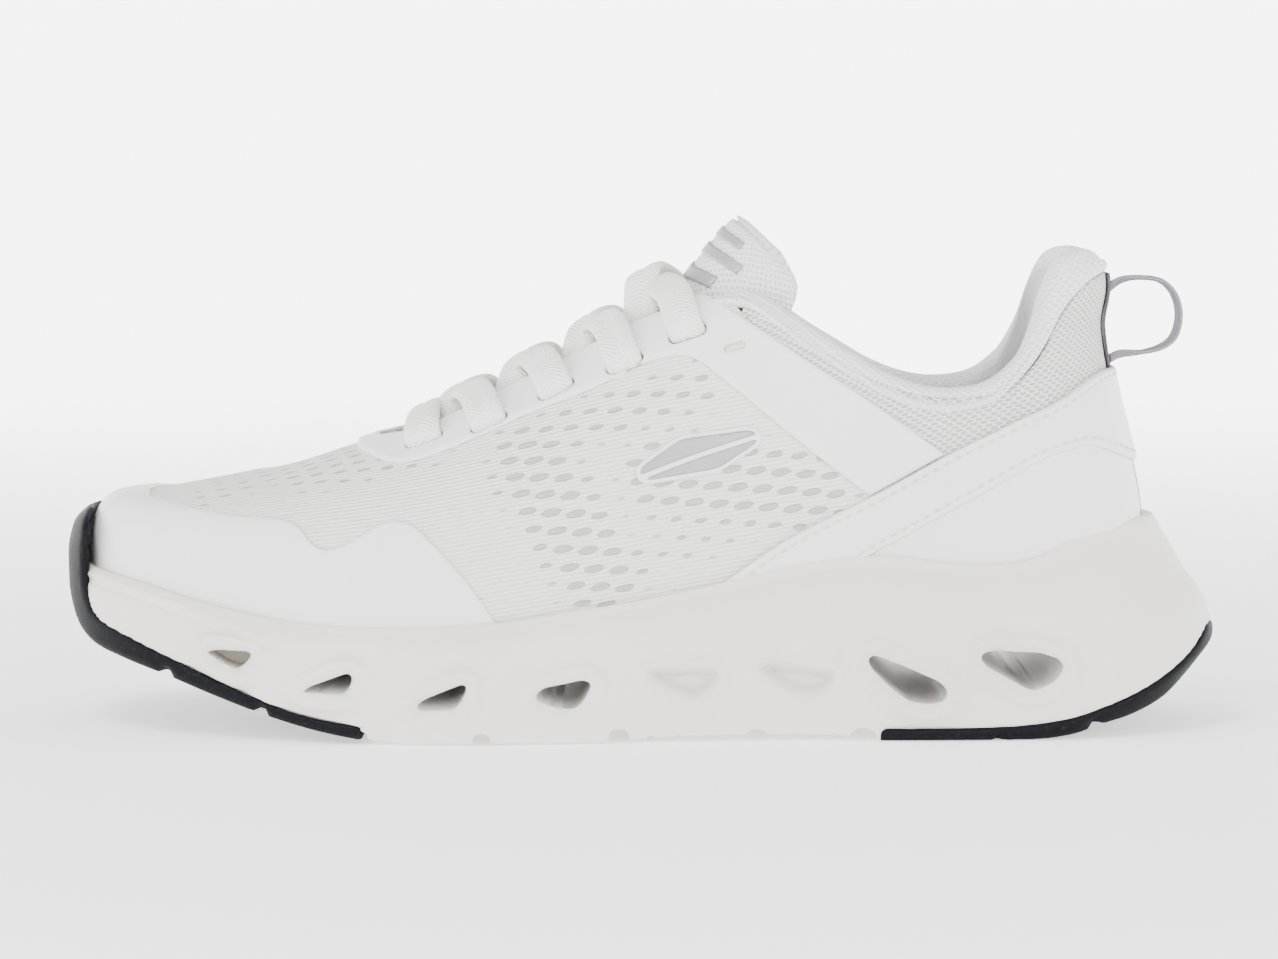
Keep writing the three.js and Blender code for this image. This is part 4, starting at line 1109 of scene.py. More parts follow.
@dataclass(frozen=True)
class OpenKnit:
    """Knit or mesh with small openings on a lattice, with painted shade in the openings."""

    openings: Lattice
    light: tuple
    # The hole colour is painted shade in the openings.
    hole_shade: tuple
    depth: float = 0.5
    strength: float = 0.8
    grain: float = 0.9

    def make(self, name: str) -> bpy.types.Material:
        """Builds the material."""
        desk = Desk(name)
        u, v = desk.cloth()
        wobble = desk.noise(desk.cloth_vector(), 0.35, 2) * 0.6
        gap = desk.ovals(u + wobble, v - wobble, self.openings, 1.0)
        yarn = desk.wave(u * 0.6 + v, self.grain) * 0.25
        tone = desk.noise(desk.cloth_vector(), 0.06, 2) * 0.12
        # Painted shade in the openings; the soft noise also moves the yarn's own tone a little towards that colour.
        colour = desk.mix(gap * self.strength + tone, self.light, self.hole_shade)
        height = yarn - gap
        return desk.done(Base_Color=colour, Roughness=0.9, Normal=desk.bump(height, self.depth),
                         Specular_IOR_Level=0.2)


@dataclass(frozen=True)
class Skin:
    """Smooth coated sheet or moulded stuff with a fine grain."""

    colour: tuple
    shade: tuple
    roughness: float
    grain_scale: float = 1400.0
    grain_depth: float = 0.03
    cloud_scale: float = 25.0
    specular: float = 0.4
    metallic: float = 0.0

    def make(self, name: str) -> bpy.types.Material:
        """Builds the material."""
        desk = Desk(name)
        where = desk.place()
        grain = desk.noise(where, self.grain_scale, 3)
        cloud = desk.noise(where, self.cloud_scale, 2)
        colour = desk.mix(desk.smooth(cloud, 0.35, 0.75) * 0.6 + grain * 0.2, self.colour, self.shade)
        rough = self.roughness + (cloud - 0.5) * 0.12
        return desk.done(Base_Color=colour, Roughness=rough, Normal=desk.bump(grain, self.grain_depth),
                         Specular_IOR_Level=self.specular, Metallic=self.metallic)


@dataclass(frozen=True)
class MouldedFoam:
    """Warm white foam with a satin skin, and painted shade, darker and browner, deep inside its tunnels and its pocket.
    """

    colour: tuple = (0.73, 0.705, 0.685)
    shade: tuple = (0.69, 0.665, 0.645)
    # Painted shade for deep inside the tunnels and the pocket.
    tunnel_shade: tuple = (0.46, 0.43, 0.34)

    def make(self, name: str) -> bpy.types.Material:
        """Builds the material."""
        desk = Desk(name)
        where = desk.place()
        grain = desk.noise(where, 1800, 3)
        cloud = desk.noise(where, 18, 2)
        skin = desk.mix(desk.smooth(cloud, 0.3, 0.8), self.colour, self.shade)
        # Painted shade: darker, browner foam where the vertices' inner value says they lie deep inside the tunnels and
        # the pocket.
        colour = desk.mix(desk.number("inner"), skin, self.tunnel_shade)
        return desk.done(Base_Color=colour, Roughness=0.5 + (grain - 0.5) * 0.15,
                         Normal=desk.bump(grain, 0.025), Specular_IOR_Level=0.35)


@dataclass(frozen=True)
class Rubber:
    """Near-black rubber with fine specks."""

    colour: tuple = (0.004, 0.004, 0.006)
    speck: tuple = (0.03, 0.03, 0.036)

    def make(self, name: str) -> bpy.types.Material:
        """Builds the material."""
        desk = Desk(name)
        where = desk.place()
        specks = desk.smooth(desk.noise(where, 900, 4), 0.6, 0.76)
        colour = desk.mix(specks * 0.7, self.colour, self.speck)
        return desk.done(Base_Color=colour, Roughness=0.55 + specks * 0.25,
                         Normal=desk.bump(desk.noise(where, 1500, 2), 0.08), Specular_IOR_Level=0.08)


@dataclass(frozen=True)
class Weave:
    """Woven band: chevron yarns that run from its edges to its middle, with painted shade between the yarns."""

    light: tuple
    # The dark colour is painted shade between the yarns.
    dark: tuple
    pitch: float = 1.15
    slope: float = 0.75
    depth: float = 0.3

    def make(self, name: str) -> bpy.types.Material:
        """Builds the material."""
        desk = Desk(name)
        u, v = desk.cloth()
        lean = desk.math("ABSOLUTE", v) * self.slope
        yarn = desk.wave(u + lean, self.pitch)
        twist = desk.wave(v - u * 0.2, self.pitch * 0.8)
        height = yarn * (0.65 + twist * 0.35)
        # Painted shade: darker between the yarns, following the bump's height.
        colour = desk.mix(desk.smooth(height, 0.0, 0.7), self.dark, self.light)
        return desk.done(Base_Color=colour, Roughness=0.82, Normal=desk.bump(height, self.depth),
                         Specular_IOR_Level=0.25)


class Slot(str, Enum):
    """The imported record's material slots that are seen."""

    MIDSOLE = "midsole_foam"
    RUBBER = "outsole_rubber"
    FELT = "strobel_felt"
    SOCK = "sockliner_cloth"
    STIFFENER = "stiffener"
    UPPER_KNIT = "upper_knit"
    QUARTER_KNIT = "quarter_knit"
    LINING = "lining_cloth"
    COLLAR = "collar_cloth"
    FILM = "overlay_film"
    LEATHER = "overlay_leather"
    TAPE = "back_tape"
    SILVER = "silver_film"
    TONGUE = "tongue_mesh"
    LACE = "lace_weave"
    AGLET = "aglet_plastic"
    WEBBING = "webbing"


# Below, each OpenKnit's last colour and each Weave's second colour is painted shade, in the openings and between the
# yarns.
FINISHES = {
    Slot.MIDSOLE: MouldedFoam(),
    Slot.RUBBER: Rubber(),
    Slot.FELT: Skin((0.62, 0.60, 0.55), (0.50, 0.48, 0.43), 0.95, 900, 0.2),
    Slot.SOCK: OpenKnit(Lattice((1.6, 0.0), (0.8, 1.0), 0.42, 0.3, 0), (0.78, 0.78, 0.76), (0.60, 0.60, 0.57)),
    Slot.STIFFENER: Skin((0.66, 0.64, 0.58), (0.58, 0.56, 0.5), 0.6),
    Slot.UPPER_KNIT: RibKnit(),
    Slot.QUARTER_KNIT: OpenKnit(Lattice((2.5, 0.45), (1.25, 1.15), 0.85, 0.36, 12), (0.80, 0.80, 0.78),
                                (0.42, 0.43, 0.43), 0.6, 0.85),
    Slot.LINING: OpenKnit(Lattice((1.9, 0.2), (0.95, 1.2), 0.5, 0.33, 5), (0.80, 0.805, 0.79), (0.60, 0.615, 0.60),
                          0.35, 0.6),
    Slot.COLLAR: OpenKnit(Lattice((1.9, 0.3), (0.95, 1.2), 0.55, 0.33, 10), (0.82, 0.83, 0.82),
                          (0.62, 0.645, 0.635), 0.4, 0.65),
    Slot.FILM: Skin((0.80, 0.80, 0.795), (0.78, 0.78, 0.77), 0.48, 2200, 0.012),
    Slot.LEATHER: Skin((0.79, 0.78, 0.775), (0.765, 0.755, 0.75), 0.42, 1500, 0.02),
    Slot.TAPE: Weave((0.13, 0.12, 0.14), (0.06, 0.055, 0.065), 1.0, 0.0, 0.25),
    Slot.SILVER: Skin((0.34, 0.34, 0.35), (0.27, 0.27, 0.28), 0.4, 1800, 0.03, 60, 0.5, 0.35),
    Slot.TONGUE: OpenKnit(Lattice((2.3, 0.5), (1.15, 1.45), 0.62, 0.36, 12), (0.82, 0.825, 0.81),
                          (0.55, 0.57, 0.55), 0.5, 0.75),
    Slot.LACE: Weave((0.92, 0.92, 0.91), (0.78, 0.78, 0.76)),
    Slot.AGLET: Skin((0.80, 0.80, 0.79), (0.76, 0.76, 0.75), 0.25),
    Slot.WEBBING: Weave((0.33, 0.31, 0.34), (0.17, 0.16, 0.18), 0.8, 0.9, 0.25),
}


class Wardrobe:
    """Hands out each slot's material, and dresses pieces."""

    def __init__(self) -> None:
        """Starts with no materials made."""
        self._made: dict[Slot, bpy.types.Material] = {}

    def material(self, slot: Slot) -> bpy.types.Material:
        """The slot's one material."""
        if slot not in self._made:
            self._made[slot] = FINISHES[slot].make(slot.value)
        return self._made[slot]

    def dress(self, piece: bpy.types.Object, slot: Slot, body: Body | None, *nodes: str) -> bpy.types.Object:
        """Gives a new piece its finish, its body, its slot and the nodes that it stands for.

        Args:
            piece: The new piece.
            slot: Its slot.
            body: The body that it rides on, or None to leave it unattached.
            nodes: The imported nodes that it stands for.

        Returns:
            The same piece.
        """
        piece.data.materials.clear()
        piece.data.materials.append(self.material(slot))
        if body:
            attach(piece, body.value)
        if nodes:
            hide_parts(*nodes)
        LOG.info("%s: %d faces", piece.name, len(piece.data.polygons))
        return piece

    def repaint(self, node: bpy.types.Object, slot: Slot) -> None:
        """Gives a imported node, which keeps its own shape, a finished material."""
        for place in node.material_slots:
            place.material = self.material(slot)
        if not node.material_slots:
            node.data.materials.append(self.material(slot))


# ---- Upper --------------------------------------------------------------------------------------

def polygon_region(*outlines: Array) -> Region:
    """The region of the side view that lies in all of the outlines."""
    def reach(points: Array) -> Array:
        """The least of the distances inside the outlines."""
        flat = side_view(points)
        return np.minimum.reduce([inside(outline, flat) for outline in outlines])
    return reach


def both(*regions: Region) -> Region:
    """The region that lies in all of several."""
    return lambda points: np.minimum.reduce([region(points) for region in regions])


def outside(region: Region) -> Region:
    """Everything but a region."""
    return lambda points: -region(points)


def throat(points: Array) -> Array:
    """Signed distance inside the tongue's opening, seen from above."""
    edge = fine(THROAT_EDGE)
    far = np.column_stack([edge[:, 0], 2 * curve(SPINE, edge[:, 0]) - edge[:, 1]])[::-1]
    return inside(np.vstack([edge, far]), points[:, :2])


def under_seam(points: Array) -> Array:
    """Signed distance under the seam of the collar roll."""
    line = np.vstack([[AHEAD, 115], fine(ROLL_SEAM), [BEHIND, 115.5]])
    return inside(np.vstack([[AHEAD, BELOW], line, [BEHIND, BELOW]]), side_view(points))


def film_edge(low: float, thickness: float, soft: float = 0.8) -> Lift:
    """The outer face of a sheet whose edge is rounded over a width."""
    return lambda points, reach: low + thickness * (0.2 + 0.8 * np.sqrt(np.clip(reach / soft, 0, 1)))


def room(points: Array) -> Array:
    """Room between the outer knit and the lining."""
    x, z = points[:, 0], points[:, 2]
    return 1.1 * ease(-x, 80, 95) + (1.7 + 3.7 * ease(z, 58, 82)) * ease(x, 0, 30)


def openness(points: Array) -> Array:
    """How open the knit is, from 0 to 1, in slanting patches along the sides and the toe."""
    flat = side_view(points)
    made = np.zeros(len(flat))
    for start, end, radius, size in PATCHES:
        a, b = np.array(start, float), np.array(end, float)
        share = np.clip(((flat - a) @ (b - a)) / ((b - a) @ (b - a)), 0, 1)
        far = np.linalg.norm(flat - a - share[:, None] * (b - a), axis=1)
        made = np.maximum(made, size * (1 - ease(far, radius * 0.35, radius)))
    return made


def slot_region(side: int, grow: float = 0.0, spare: bool = True) -> Region:
    """Signed distance outside the lace slots of one side.

    Args:
        side: -1 on the outer side, 1 on the inner side.
        grow: How much larger the slots are made.
        spare: Whether the empty slot at the top is one of them.

    Returns:
        The region.
    """
    seats = []
    for x, reach, length, width in [[*s, 10, 3.6] for s in SLOTS] + [[*SPARE_SLOT, 5.5, 1.8]] * spare:
        seats.append((*LAST.seat(x, side, LAST.share_at(x, side, reach)), length + grow, width + grow))

    def reach(points: Array) -> Array:
        """The distance outside the nearest slot."""
        made = np.full(len(points), 1e3)
        for spot, normal, along, length, width in seats:
            offset = points - spot
            across = np.cross(normal, along)
            u = np.maximum(np.abs(offset @ along) - (length - width) / 2, 0)
            far = np.hypot(u, offset @ across) - width / 2
            near = np.linalg.norm(offset, axis=1) < 16
            made = np.where(near, np.minimum(made, far), made)
        return made
    return reach


@dataclass
class Upper:
    """Knit, overlays, heel pieces, collar and linings."""

    wardrobe: Wardrobe
    knit: float = 1.4
    film: float = 0.9
    leather: float = 1.4
    lining: float = 0.8
    film_lift: float = 0.2
    film_levels: tuple = (0.0, 0.3, 0.8)
    channel: float = 1.9
    stitch_pitch: float = 3.1
    tape_half_width: float = 6.5
    split: Array = field(init=False)

    def __post_init__(self) -> None:
        """Draws the line where the two knits meet."""
        self.split = np.vstack([[[13, FAR]], fine(QUARTER_SPLIT)])

    def build(self) -> None:
        """Makes every piece of the upper."""
        self.vamp_knit()
        self.quarter_knit()
        self.toe_overlay()
        self.eyestay()
        self.heel_band()
        self.heel_covers()
        self.back_tape()
        self.emblem()
        self.vamp_lining()
        self.collar()

    def vamp_knit(self) -> None:
        """The front knit, with its slanting patches of openings."""
        front = np.vstack([[[AHEAD, BELOW], [AHEAD, FAR]], self.split, [[80, BELOW]]])
        slots = [slot_region(side, 1.0, spare=False) for side in (-1, 1)]
        region = both(polygon_region(front), outside(throat), under_seam, *slots)
        cut = Cut(LAST, stops(2.08, 4.92, 1.7), np.linspace(0, 1, 74)).trim(region)
        cut.shape(lambda points, reach: 0.0)
        cut.value("open", openness(cut.points))
        piece = thicken(cut.finish("vamp_knit"), self.knit)
        self.wardrobe.dress(piece, Slot.UPPER_KNIT, Body.SHOE, "vamp_mesh")

    def quarter_knit(self) -> None:
        """The coarse knit of the rear quarters."""
        rear = np.vstack([self.split, [[80, BELOW], [BEHIND, BELOW], [BEHIND, FAR]]])
        region = both(polygon_region(rear), outside(throat), under_seam)
        cut = Cut(LAST, stops(0.52, 2.48, 1.9), np.linspace(0, 0.98, 66)).trim(region)
        piece = thicken(cut.shape(lambda points, reach: 0.0).finish("quarter_knit"), self.knit)
        self.wardrobe.dress(piece, Slot.QUARTER_KNIT, Body.SHOE, "collar_mesh")

    def toe_overlay(self) -> None:
        """The moulded film round the toe."""
        edge = fine(TOE_CAP_EDGE)
        region = polygon_region(np.vstack([[[AHEAD, BELOW], [AHEAD, 62]], edge, [[-33, BELOW]]]))
        cut = Cut(LAST, stops(2.62, 4.38, 1.5), np.linspace(0.0, 0.99, 62)).trim(region, self.film_levels)
        piece = thicken(cut.shape(film_edge(self.film_lift, 0.9)).finish("toe_cap_film"), self.film)
        self.wardrobe.dress(piece, Slot.FILM, Body.SHOE, "toe_overlay")

    def eyestay(self) -> None:
        """The film round the throat with its lace slots, and its straps down to the heel band."""
        outline = np.vstack([[[15.8, 140], [-73.5, 140]], fine(EYESTAY_LOWER), fine(STRAP_REAR)])
        over_band = above(np.vstack([[AHEAD, 37.5], fine(BAND_TOP) + [0, 0.3], [BEHIND, 92]]))
        halves = []
        for side in (-1, 1):
            region = both(polygon_region(outline, over_band), outside(throat), under_seam, slot_region(side))
            ends = sorted([around(-76, side), around(80, side)])
            cut = Cut(LAST, stops(*ends, 0.95), np.linspace(0.25, 1, 92)).trim(region, self.film_levels)
            halves.append(cut.shape(film_edge(self.film_lift, 0.95)).finish(f"eyestay_{side}"))
        piece = thicken(join("eyestay_film", halves), self.film)
        self.wardrobe.dress(piece, Slot.FILM, Body.SHOE, "eyestay_overlay")

    def heel_band(self) -> None:
        """The band that runs round the heel, with a stitched channel along both edges."""
        outline = np.vstack([fine(BAND_TOP), [[160, 91.5], [160, 66.6]], fine(BAND_BOTTOM)[::-1]])
        over_sole = above(np.vstack([[AHEAD, 30], fine(SOLE_TOP), [BEHIND, 53.5]]) - [0, 4])
        cut = Cut(LAST, stops(0.58, 2.42, 1.3), np.linspace(0.02, 0.8, 66))
        cut.trim(polygon_region(outline, over_sole), (0.0, 0.35, 0.9, 1.4, self.channel, 2.4))
        edge = film_edge(1.0, 1.3, 0.9)
        cut.shape(lambda points, reach: edge(points, reach) - 0.3 * np.exp(-((reach - self.channel) / 0.45) ** 2))
        self.stitches(cut.contour(self.channel))
        piece = thicken(cut.finish("heel_band_leather"), self.leather)
        self.wardrobe.dress(piece, Slot.LEATHER, Body.SHOE, "heel_band")

    def stitches(self, lines: list[tuple[Array, Array]]) -> None:
        """Small thread beads, a pitch apart, along lines of points and normals in metres.

        Args:
            lines: The points and normals of each line.
        """
        bm = bmesh.new()
        for points, normals in lines:
            run = lengths(points) / MM
            for place in np.arange(self.stitch_pitch, run[-1] - self.stitch_pitch, self.stitch_pitch):
                spot, ahead, up = (np.array([np.interp(place + step, run, rows[:, k]) for k in range(3)])
                                   for rows, step in ((points, 0), (points, 0.8), (normals, 0)))
                along, up = Vector(ahead - spot).normalized(), Vector(up).normalized()
                side = up.cross(along).normalized()
                turn = Matrix((along, side, along.cross(side))).transposed().to_4x4()
                where = Matrix.Translation(Vector(spot) + up * 0.00005) @ turn
                bmesh.ops.create_uvsphere(bm, u_segments=8, v_segments=5, radius=MM,
                                          matrix=where @ Matrix.Diagonal((1.05, 0.42, 0.36, 1)))
        piece = self.wardrobe.dress(new_piece("band_stitches", bm), Slot.LEATHER, Body.SHOE)
        piece.data.materials[0] = Skin((0.66, 0.64, 0.60), (0.58, 0.56, 0.52), 0.7, 2600, 0.05).make("thread")

    def heel_covers(self) -> None:
        """The two moulded covers at the sides of the heel."""
        outline = np.vstack([[[44, BELOW], [44, 36]], fine(BAND_TOP)[14:], [[160, 91.5], [160, BELOW]]])
        for side, ends, name in ((-1, (0.72, 1.52), "lateral"), (1, (1.48, 2.28), "medial")):
            def half(points: Array, side: int = side) -> Array:
                """The distance past the back tape on one side."""
                return (points[:, 1] - HEEL_MIDDLE) * side - (self.tape_half_width + 0.3)

            cut = Cut(LAST, stops(*ends, 1.6), np.linspace(0.0, 0.8, 50))
            cut.trim(both(polygon_region(outline), half), self.film_levels)
            piece = thicken(cut.shape(film_edge(self.film_lift, 0.9)).finish(f"heel_cover_{name}_skin"), self.film)
            self.wardrobe.dress(piece, Slot.LEATHER, Body.SHOE, f"heel_cover_{name}")

    def back_tape(self) -> None:
        """The dark woven tape down the back seam."""
        def strip(points: Array) -> Array:
            """The distance inside the edges of the tape."""
            return self.tape_half_width - np.abs(points[:, 1] - HEEL_MIDDLE)

        cut = Cut(LAST, stops(1.3, 1.7, 1.2), np.linspace(0.0, 0.96, 90))
        cut.trim(both(strip, under_seam), (0.0, 0.3))
        piece = thicken(cut.shape(film_edge(0.3, 0.8, 0.4)).finish("back_seam_tape"), self.film)
        self.wardrobe.dress(piece, Slot.TAPE, Body.SHOE, "back_tape")

    def emblem(self) -> None:
        """A plain badge on the outer side: a film plate with a foil print in two halves."""
        plate = polygon_region(rounded(EMBLEM, 2.2))
        cut = Cut(LAST, stops(0.48, 0.69, 0.8), np.linspace(0.3, 0.8, 60)).trim(plate, (0.0, 0.3))
        base = thicken(cut.shape(film_edge(0.1, 0.6, 0.3)).finish("side_badge_plate"), 0.6)
        self.wardrobe.dress(base, Slot.FILM, Body.SHOE)
        middle = np.array([[0.5, 65.6], [14, 70.6], [29.5, 75.6]])

        def marks(points: Array) -> Array:
            """The distance inside either half of the print."""
            gap = np.abs(points[:, 2] - curve(middle, points[:, 0])) - 0.55
            return np.minimum(plate(points) - 1.0, gap)

        cut = Cut(LAST, stops(0.48, 0.69, 0.5), np.linspace(0.3, 0.8, 90)).trim(marks, (0.0, 0.25))
        print_piece = thicken(cut.shape(film_edge(0.5, 0.55, 0.25)).finish("side_badge_print"), 0.5)
        self.wardrobe.dress(print_piece, Slot.SILVER, Body.SHOE, "side_emblem")

    def vamp_lining(self) -> None:
        """The lining of the front, inside the knit."""
        front = np.array([[AHEAD, BELOW], [AHEAD, FAR], [17, FAR], [17, BELOW]])
        cut = Cut(LAST, stops(2.4, 4.6, 3.0), np.linspace(0, 1, 40))
        cut.trim(both(polygon_region(front), outside(throat)))
        cut.shape(lambda points, reach: -(2.2 + room(points)))
        piece = thicken(cut.finish("front_lining"), self.lining)
        self.wardrobe.dress(piece, Slot.LINING, Body.SHOE, "vamp_lining")

    def collar(self) -> None:
        """The padded roll round the foot opening, which runs down inside as the heel lining."""
        a_stops = stops(around(15, -1), around(15, 1), 1.6)
        roll = CollarRoll(a_stops)
        w_stops = np.concatenate([np.linspace(0, 1, 13), np.linspace(1, 2, 17)[1:], np.linspace(2, 3, 34)[1:]])
        bm, flat = grid_mesh(len(a_stops) - 1, len(w_stops) - 1)
        index = np.rint(flat[:, 0] * (len(a_stops) - 1)).astype(int)
        points, cloth = roll.point(index, spread(flat[:, 1], w_stops))
        place_vertices(bm, metres(points))
        keep_cloth(bm, cloth)
        piece = thicken(new_piece("collar_roll", bm), self.film)
        self.wardrobe.dress(piece, Slot.COLLAR, Body.SHOE, "collar_lining", "collar_foam")


class CollarRoll:
    """The collar's cross-sections at places round the foot opening."""

    shares = 260
    passes = 6
    thickness = 3.0

    def __init__(self, a: Array) -> None:
        """Finds the seam, the top and the thickness at every place."""
        self.a = a
        count = len(a)
        grid = np.linspace(0.02, 1, self.shares)
        points = LAST.point(np.repeat(a, self.shares), np.tile(grid, count)).reshape(count, self.shares, 3)
        self.run = np.concatenate([np.zeros((count, 1)),
                                   np.cumsum(np.linalg.norm(np.diff(points, axis=1), axis=2), axis=1)], axis=1)
        self.grid = grid
        x, z = points[..., 0].ravel(), points[..., 2].ravel()
        off = np.abs(points[..., 1].ravel() - curve(SPINE, x))
        throat_reach = np.abs(curve(THROAT_EDGE, x) - curve(SPINE, x))
        at_top = (z >= curve(RIM, x)) | ((off <= throat_reach) & (x < 40) & (z > 80))
        seam = z >= curve(ROLL_SEAM, x)
        self.top = np.argmax(at_top.reshape(count, -1), axis=1)
        self.seam = np.minimum(np.argmax(seam.reshape(count, -1), axis=1), self.top - 3)
        pick = np.arange(count)
        self.radius = (self.thickness + room(points[pick, self.top])) / 2
        self.top_run = evened(self.run[pick, self.top] - self.radius, self.passes)
        self.seam_run = evened(np.minimum(self.run[pick, self.seam], self.top_run - 2.5), self.passes)
        self.radius = evened(self.radius, self.passes)

    def _share(self, index: Array, run: Array) -> Array:
        """The share of the way up the wall at a length up it."""
        made = np.empty(len(index))
        for k in np.unique(index):
            here = index == k
            made[here] = np.interp(run[here], self.run[k], self.grid)
        return made

    def point(self, index: Array, w: Array) -> tuple[Array, Array]:
        """Points of the roll and their cloth coordinates.

        Args:
            index: The number of the place round the opening.
            w: 0 to 1 up the outside, to 2 over the top, to 3 down the inside.

        Returns:
            Points in millimetres, and cloth coordinates.
        """
        a = self.a[index]
        seam, top, radius = self.seam_run[index], self.top_run[index], self.radius[index]
        q = np.clip(w, 0, 1)
        drop = np.clip(w - 2, 0, 1)
        run = np.where(w <= 1, seam + (top - seam) * q, np.where(w <= 2, top, top - (top - 0.5) * drop))
        share = self._share(index, run)
        base, normal = LAST.point(a, share), LAST.normal(a, share)
        bulge = 1.2 * np.sin(math.pi * q) ** 0.8 - 0.7 * (1 - q) ** 4
        blend = ease(drop, 0, 0.25)
        depth = 2 * radius + (self.thickness + room(base) - 2 * radius) * blend
        lift = np.where(w <= 1, bulge, np.where(w <= 2, 0, -depth))
        made = base + normal * lift[:, None]
        higher = LAST.point(a, np.minimum(share + 0.01, 1)) - LAST.point(a, share - 0.01)
        upward = higher / np.linalg.norm(higher, axis=1)[:, None]
        angle = math.pi * np.clip(w - 1, 0, 1)
        arc = base - normal * radius[:, None] + normal * (radius * np.cos(angle))[:, None] \
            + upward * (radius * np.sin(angle))[:, None]
        over = (w > 1) & (w < 2)
        made[over] = arc[over]
        up = np.where(w <= 1, run, np.where(w <= 2, top + radius * angle, top + radius * math.pi + (top - run)))
        return made, np.column_stack([base[:, 0], up])


def join(name: str, pieces: Sequence[bpy.types.Object]) -> bpy.types.Object:
    """One piece from several, welded where they meet."""
    bm = bmesh.new()
    for piece in pieces:
        mesh = piece.data
        bm.from_mesh(mesh)
        bpy.data.objects.remove(piece)
        bpy.data.meshes.remove(mesh)
    weld(bm)
    return new_piece(name, bm)


# ---- Tongue, laces and loop ---------------------------------------------------------------------

TONGUE_TIP = len(TONGUE_ROWS) - 1
TONGUE_WRAP = 1.35


def tongue_point(u: Array, v: Array, depth: Array | float) -> Array:
    """Points of the tongue: u from its toe end, 0, to its tip, 9, v across it from -1 to 1, and a depth below it.

    Args:
        u: The place along the tongue.
        v: The place across it.
        depth: How far below its outer face the point lies.

    Returns:
        The points, in millimetres.
    """
    rows = np.column_stack([np.arange(len(TONGUE_ROWS)), TONGUE_ROWS])
    here, after, before = (curve(rows, np.clip(u + step, 0, TONGUE_TIP)) for step in (0, 0.25, -0.25))
    along = after[:, :2] - before[:, :2]
    along = along / np.linalg.norm(along, axis=1)[:, None]
    angle = np.abs(v) * TONGUE_WRAP
    sink = here[:, 3] * (1 - np.cos(angle)) / (1 - math.cos(TONGUE_WRAP))
    slope = math.sin(TONGUE_WRAP) * here[:, 3] / ((1 - math.cos(TONGUE_WRAP)) * here[:, 2])
    turn = np.arctan(slope * np.sin(angle) / np.maximum(np.cos(angle), 0.2) * 0.8)
    inward = sink + depth * np.cos(turn)
    reach = np.sin(angle) / math.sin(TONGUE_WRAP) * here[:, 2] - depth * np.sin(turn)
    y = curve(SPINE, here[:, 0]) + np.sign(v) * np.maximum(reach, 0)
    return np.column_stack([here[:, 0] + along[:, 1] * inward, y, here[:, 1] - along[:, 0] * inward])


@dataclass
class Tongue:
    """The padded tongue with its print."""

    wardrobe: Wardrobe
    thickness: float = 8.0
    roundness: float = 0.62
    bars: tuple = ((6.15, 13.0), (6.85, 17.0), (7.5, 13.0))
    bar_sink: float = 0.15
    bar_sheet: float = 0.35

    def build(self) -> None:
        """Makes the pad, its stitched edge and its print."""
        pad = loft("tongue_pad", self.section, 110, 72, self.cloth)
        self.wardrobe.dress(pad, Slot.TONGUE, Body.TONGUE, "tongue_face", "tongue_foam", "tongue_lining")
        self.print_bars()

    def section(self, share: Array, w: Array) -> Array:
        """Points of the pad: rounded edges with a bead inside them, and a closed tip and toe end.

        Args:
            share: The share of the way from toe end to tip.
            w: The share of the way round the pad.

        Returns:
            The points, in millimetres.
        """
        u = share * TONGUE_TIP
        turn = w * 2 * math.pi
        v, h = bulged(np.cos(turn), self.roundness), bulged(np.sin(turn), self.roundness)
        tip = np.sqrt(np.clip((1 - share) / 0.03, 0, 1))
        toe = np.sqrt(np.clip(share / 0.02, 0, 1))
        corner = 1 - 0.16 * (1 - np.clip((1 - share) / 0.07, 0, 1)) ** 2
        swell = self.swell(u)
        pinch = 1 - 0.38 * np.exp(-((np.abs(v) - 0.9) / 0.055) ** 2) - 0.2 * ease(np.abs(v), 0.93, 1.0)
        rim = 1 - 0.42 * np.exp(-((share - 0.955) / 0.012) ** 2) * ease(1 - np.abs(v), 0.0, 0.12)
        half = swell / 2 * pinch * rim * tip * toe
        return tongue_point(u, v * corner, swell / 2 - h * half)

    def swell(self, u: Array) -> Array:
        """How thick the pad is along the tongue."""
        return self.thickness * (0.55 + 0.45 * ease(u, 2.0, 4.5))

    def cloth(self, share: Array, w: Array) -> Array:
        """Cloth coordinates of the pad."""
        turn = w * 2 * math.pi
        return np.column_stack([share * 125, bulged(np.cos(turn), self.roundness) * 30 + 40 * (np.sin(turn) < 0)])

    def front(self, u: Array, v: Array) -> Array:
        """How deep the pad's front face lies below the tongue's own surface."""
        height = np.sqrt(1 - np.abs(v) ** (2 / self.roundness)) ** self.roundness
        return self.swell(u) / 2 * (1 - height)

    def print_bars(self) -> None:
        """Three silver bars printed near the tip."""
        bm = bmesh.new()
        for start, length in self.bars:
            made, flat = grid_mesh(28, 5)
            u = start + flat[:, 1] * 0.32 + np.abs(flat[:, 0] - 0.5) * 0.3
            v = -0.14 + (flat[:, 0] - 0.5) * length / 19
            place_vertices(made, metres(tongue_point(u, v, self.front(u, v) - self.bar_sink)))
            mesh = bpy.data.meshes.new("bar")
            made.to_mesh(mesh)
            made.free()
            bm.from_mesh(mesh)
            bpy.data.meshes.remove(mesh)
        piece = thicken(new_piece("tongue_print", bm), self.bar_sheet)
        self.wardrobe.dress(piece, Slot.SILVER, Body.TONGUE, "tongue_badge")


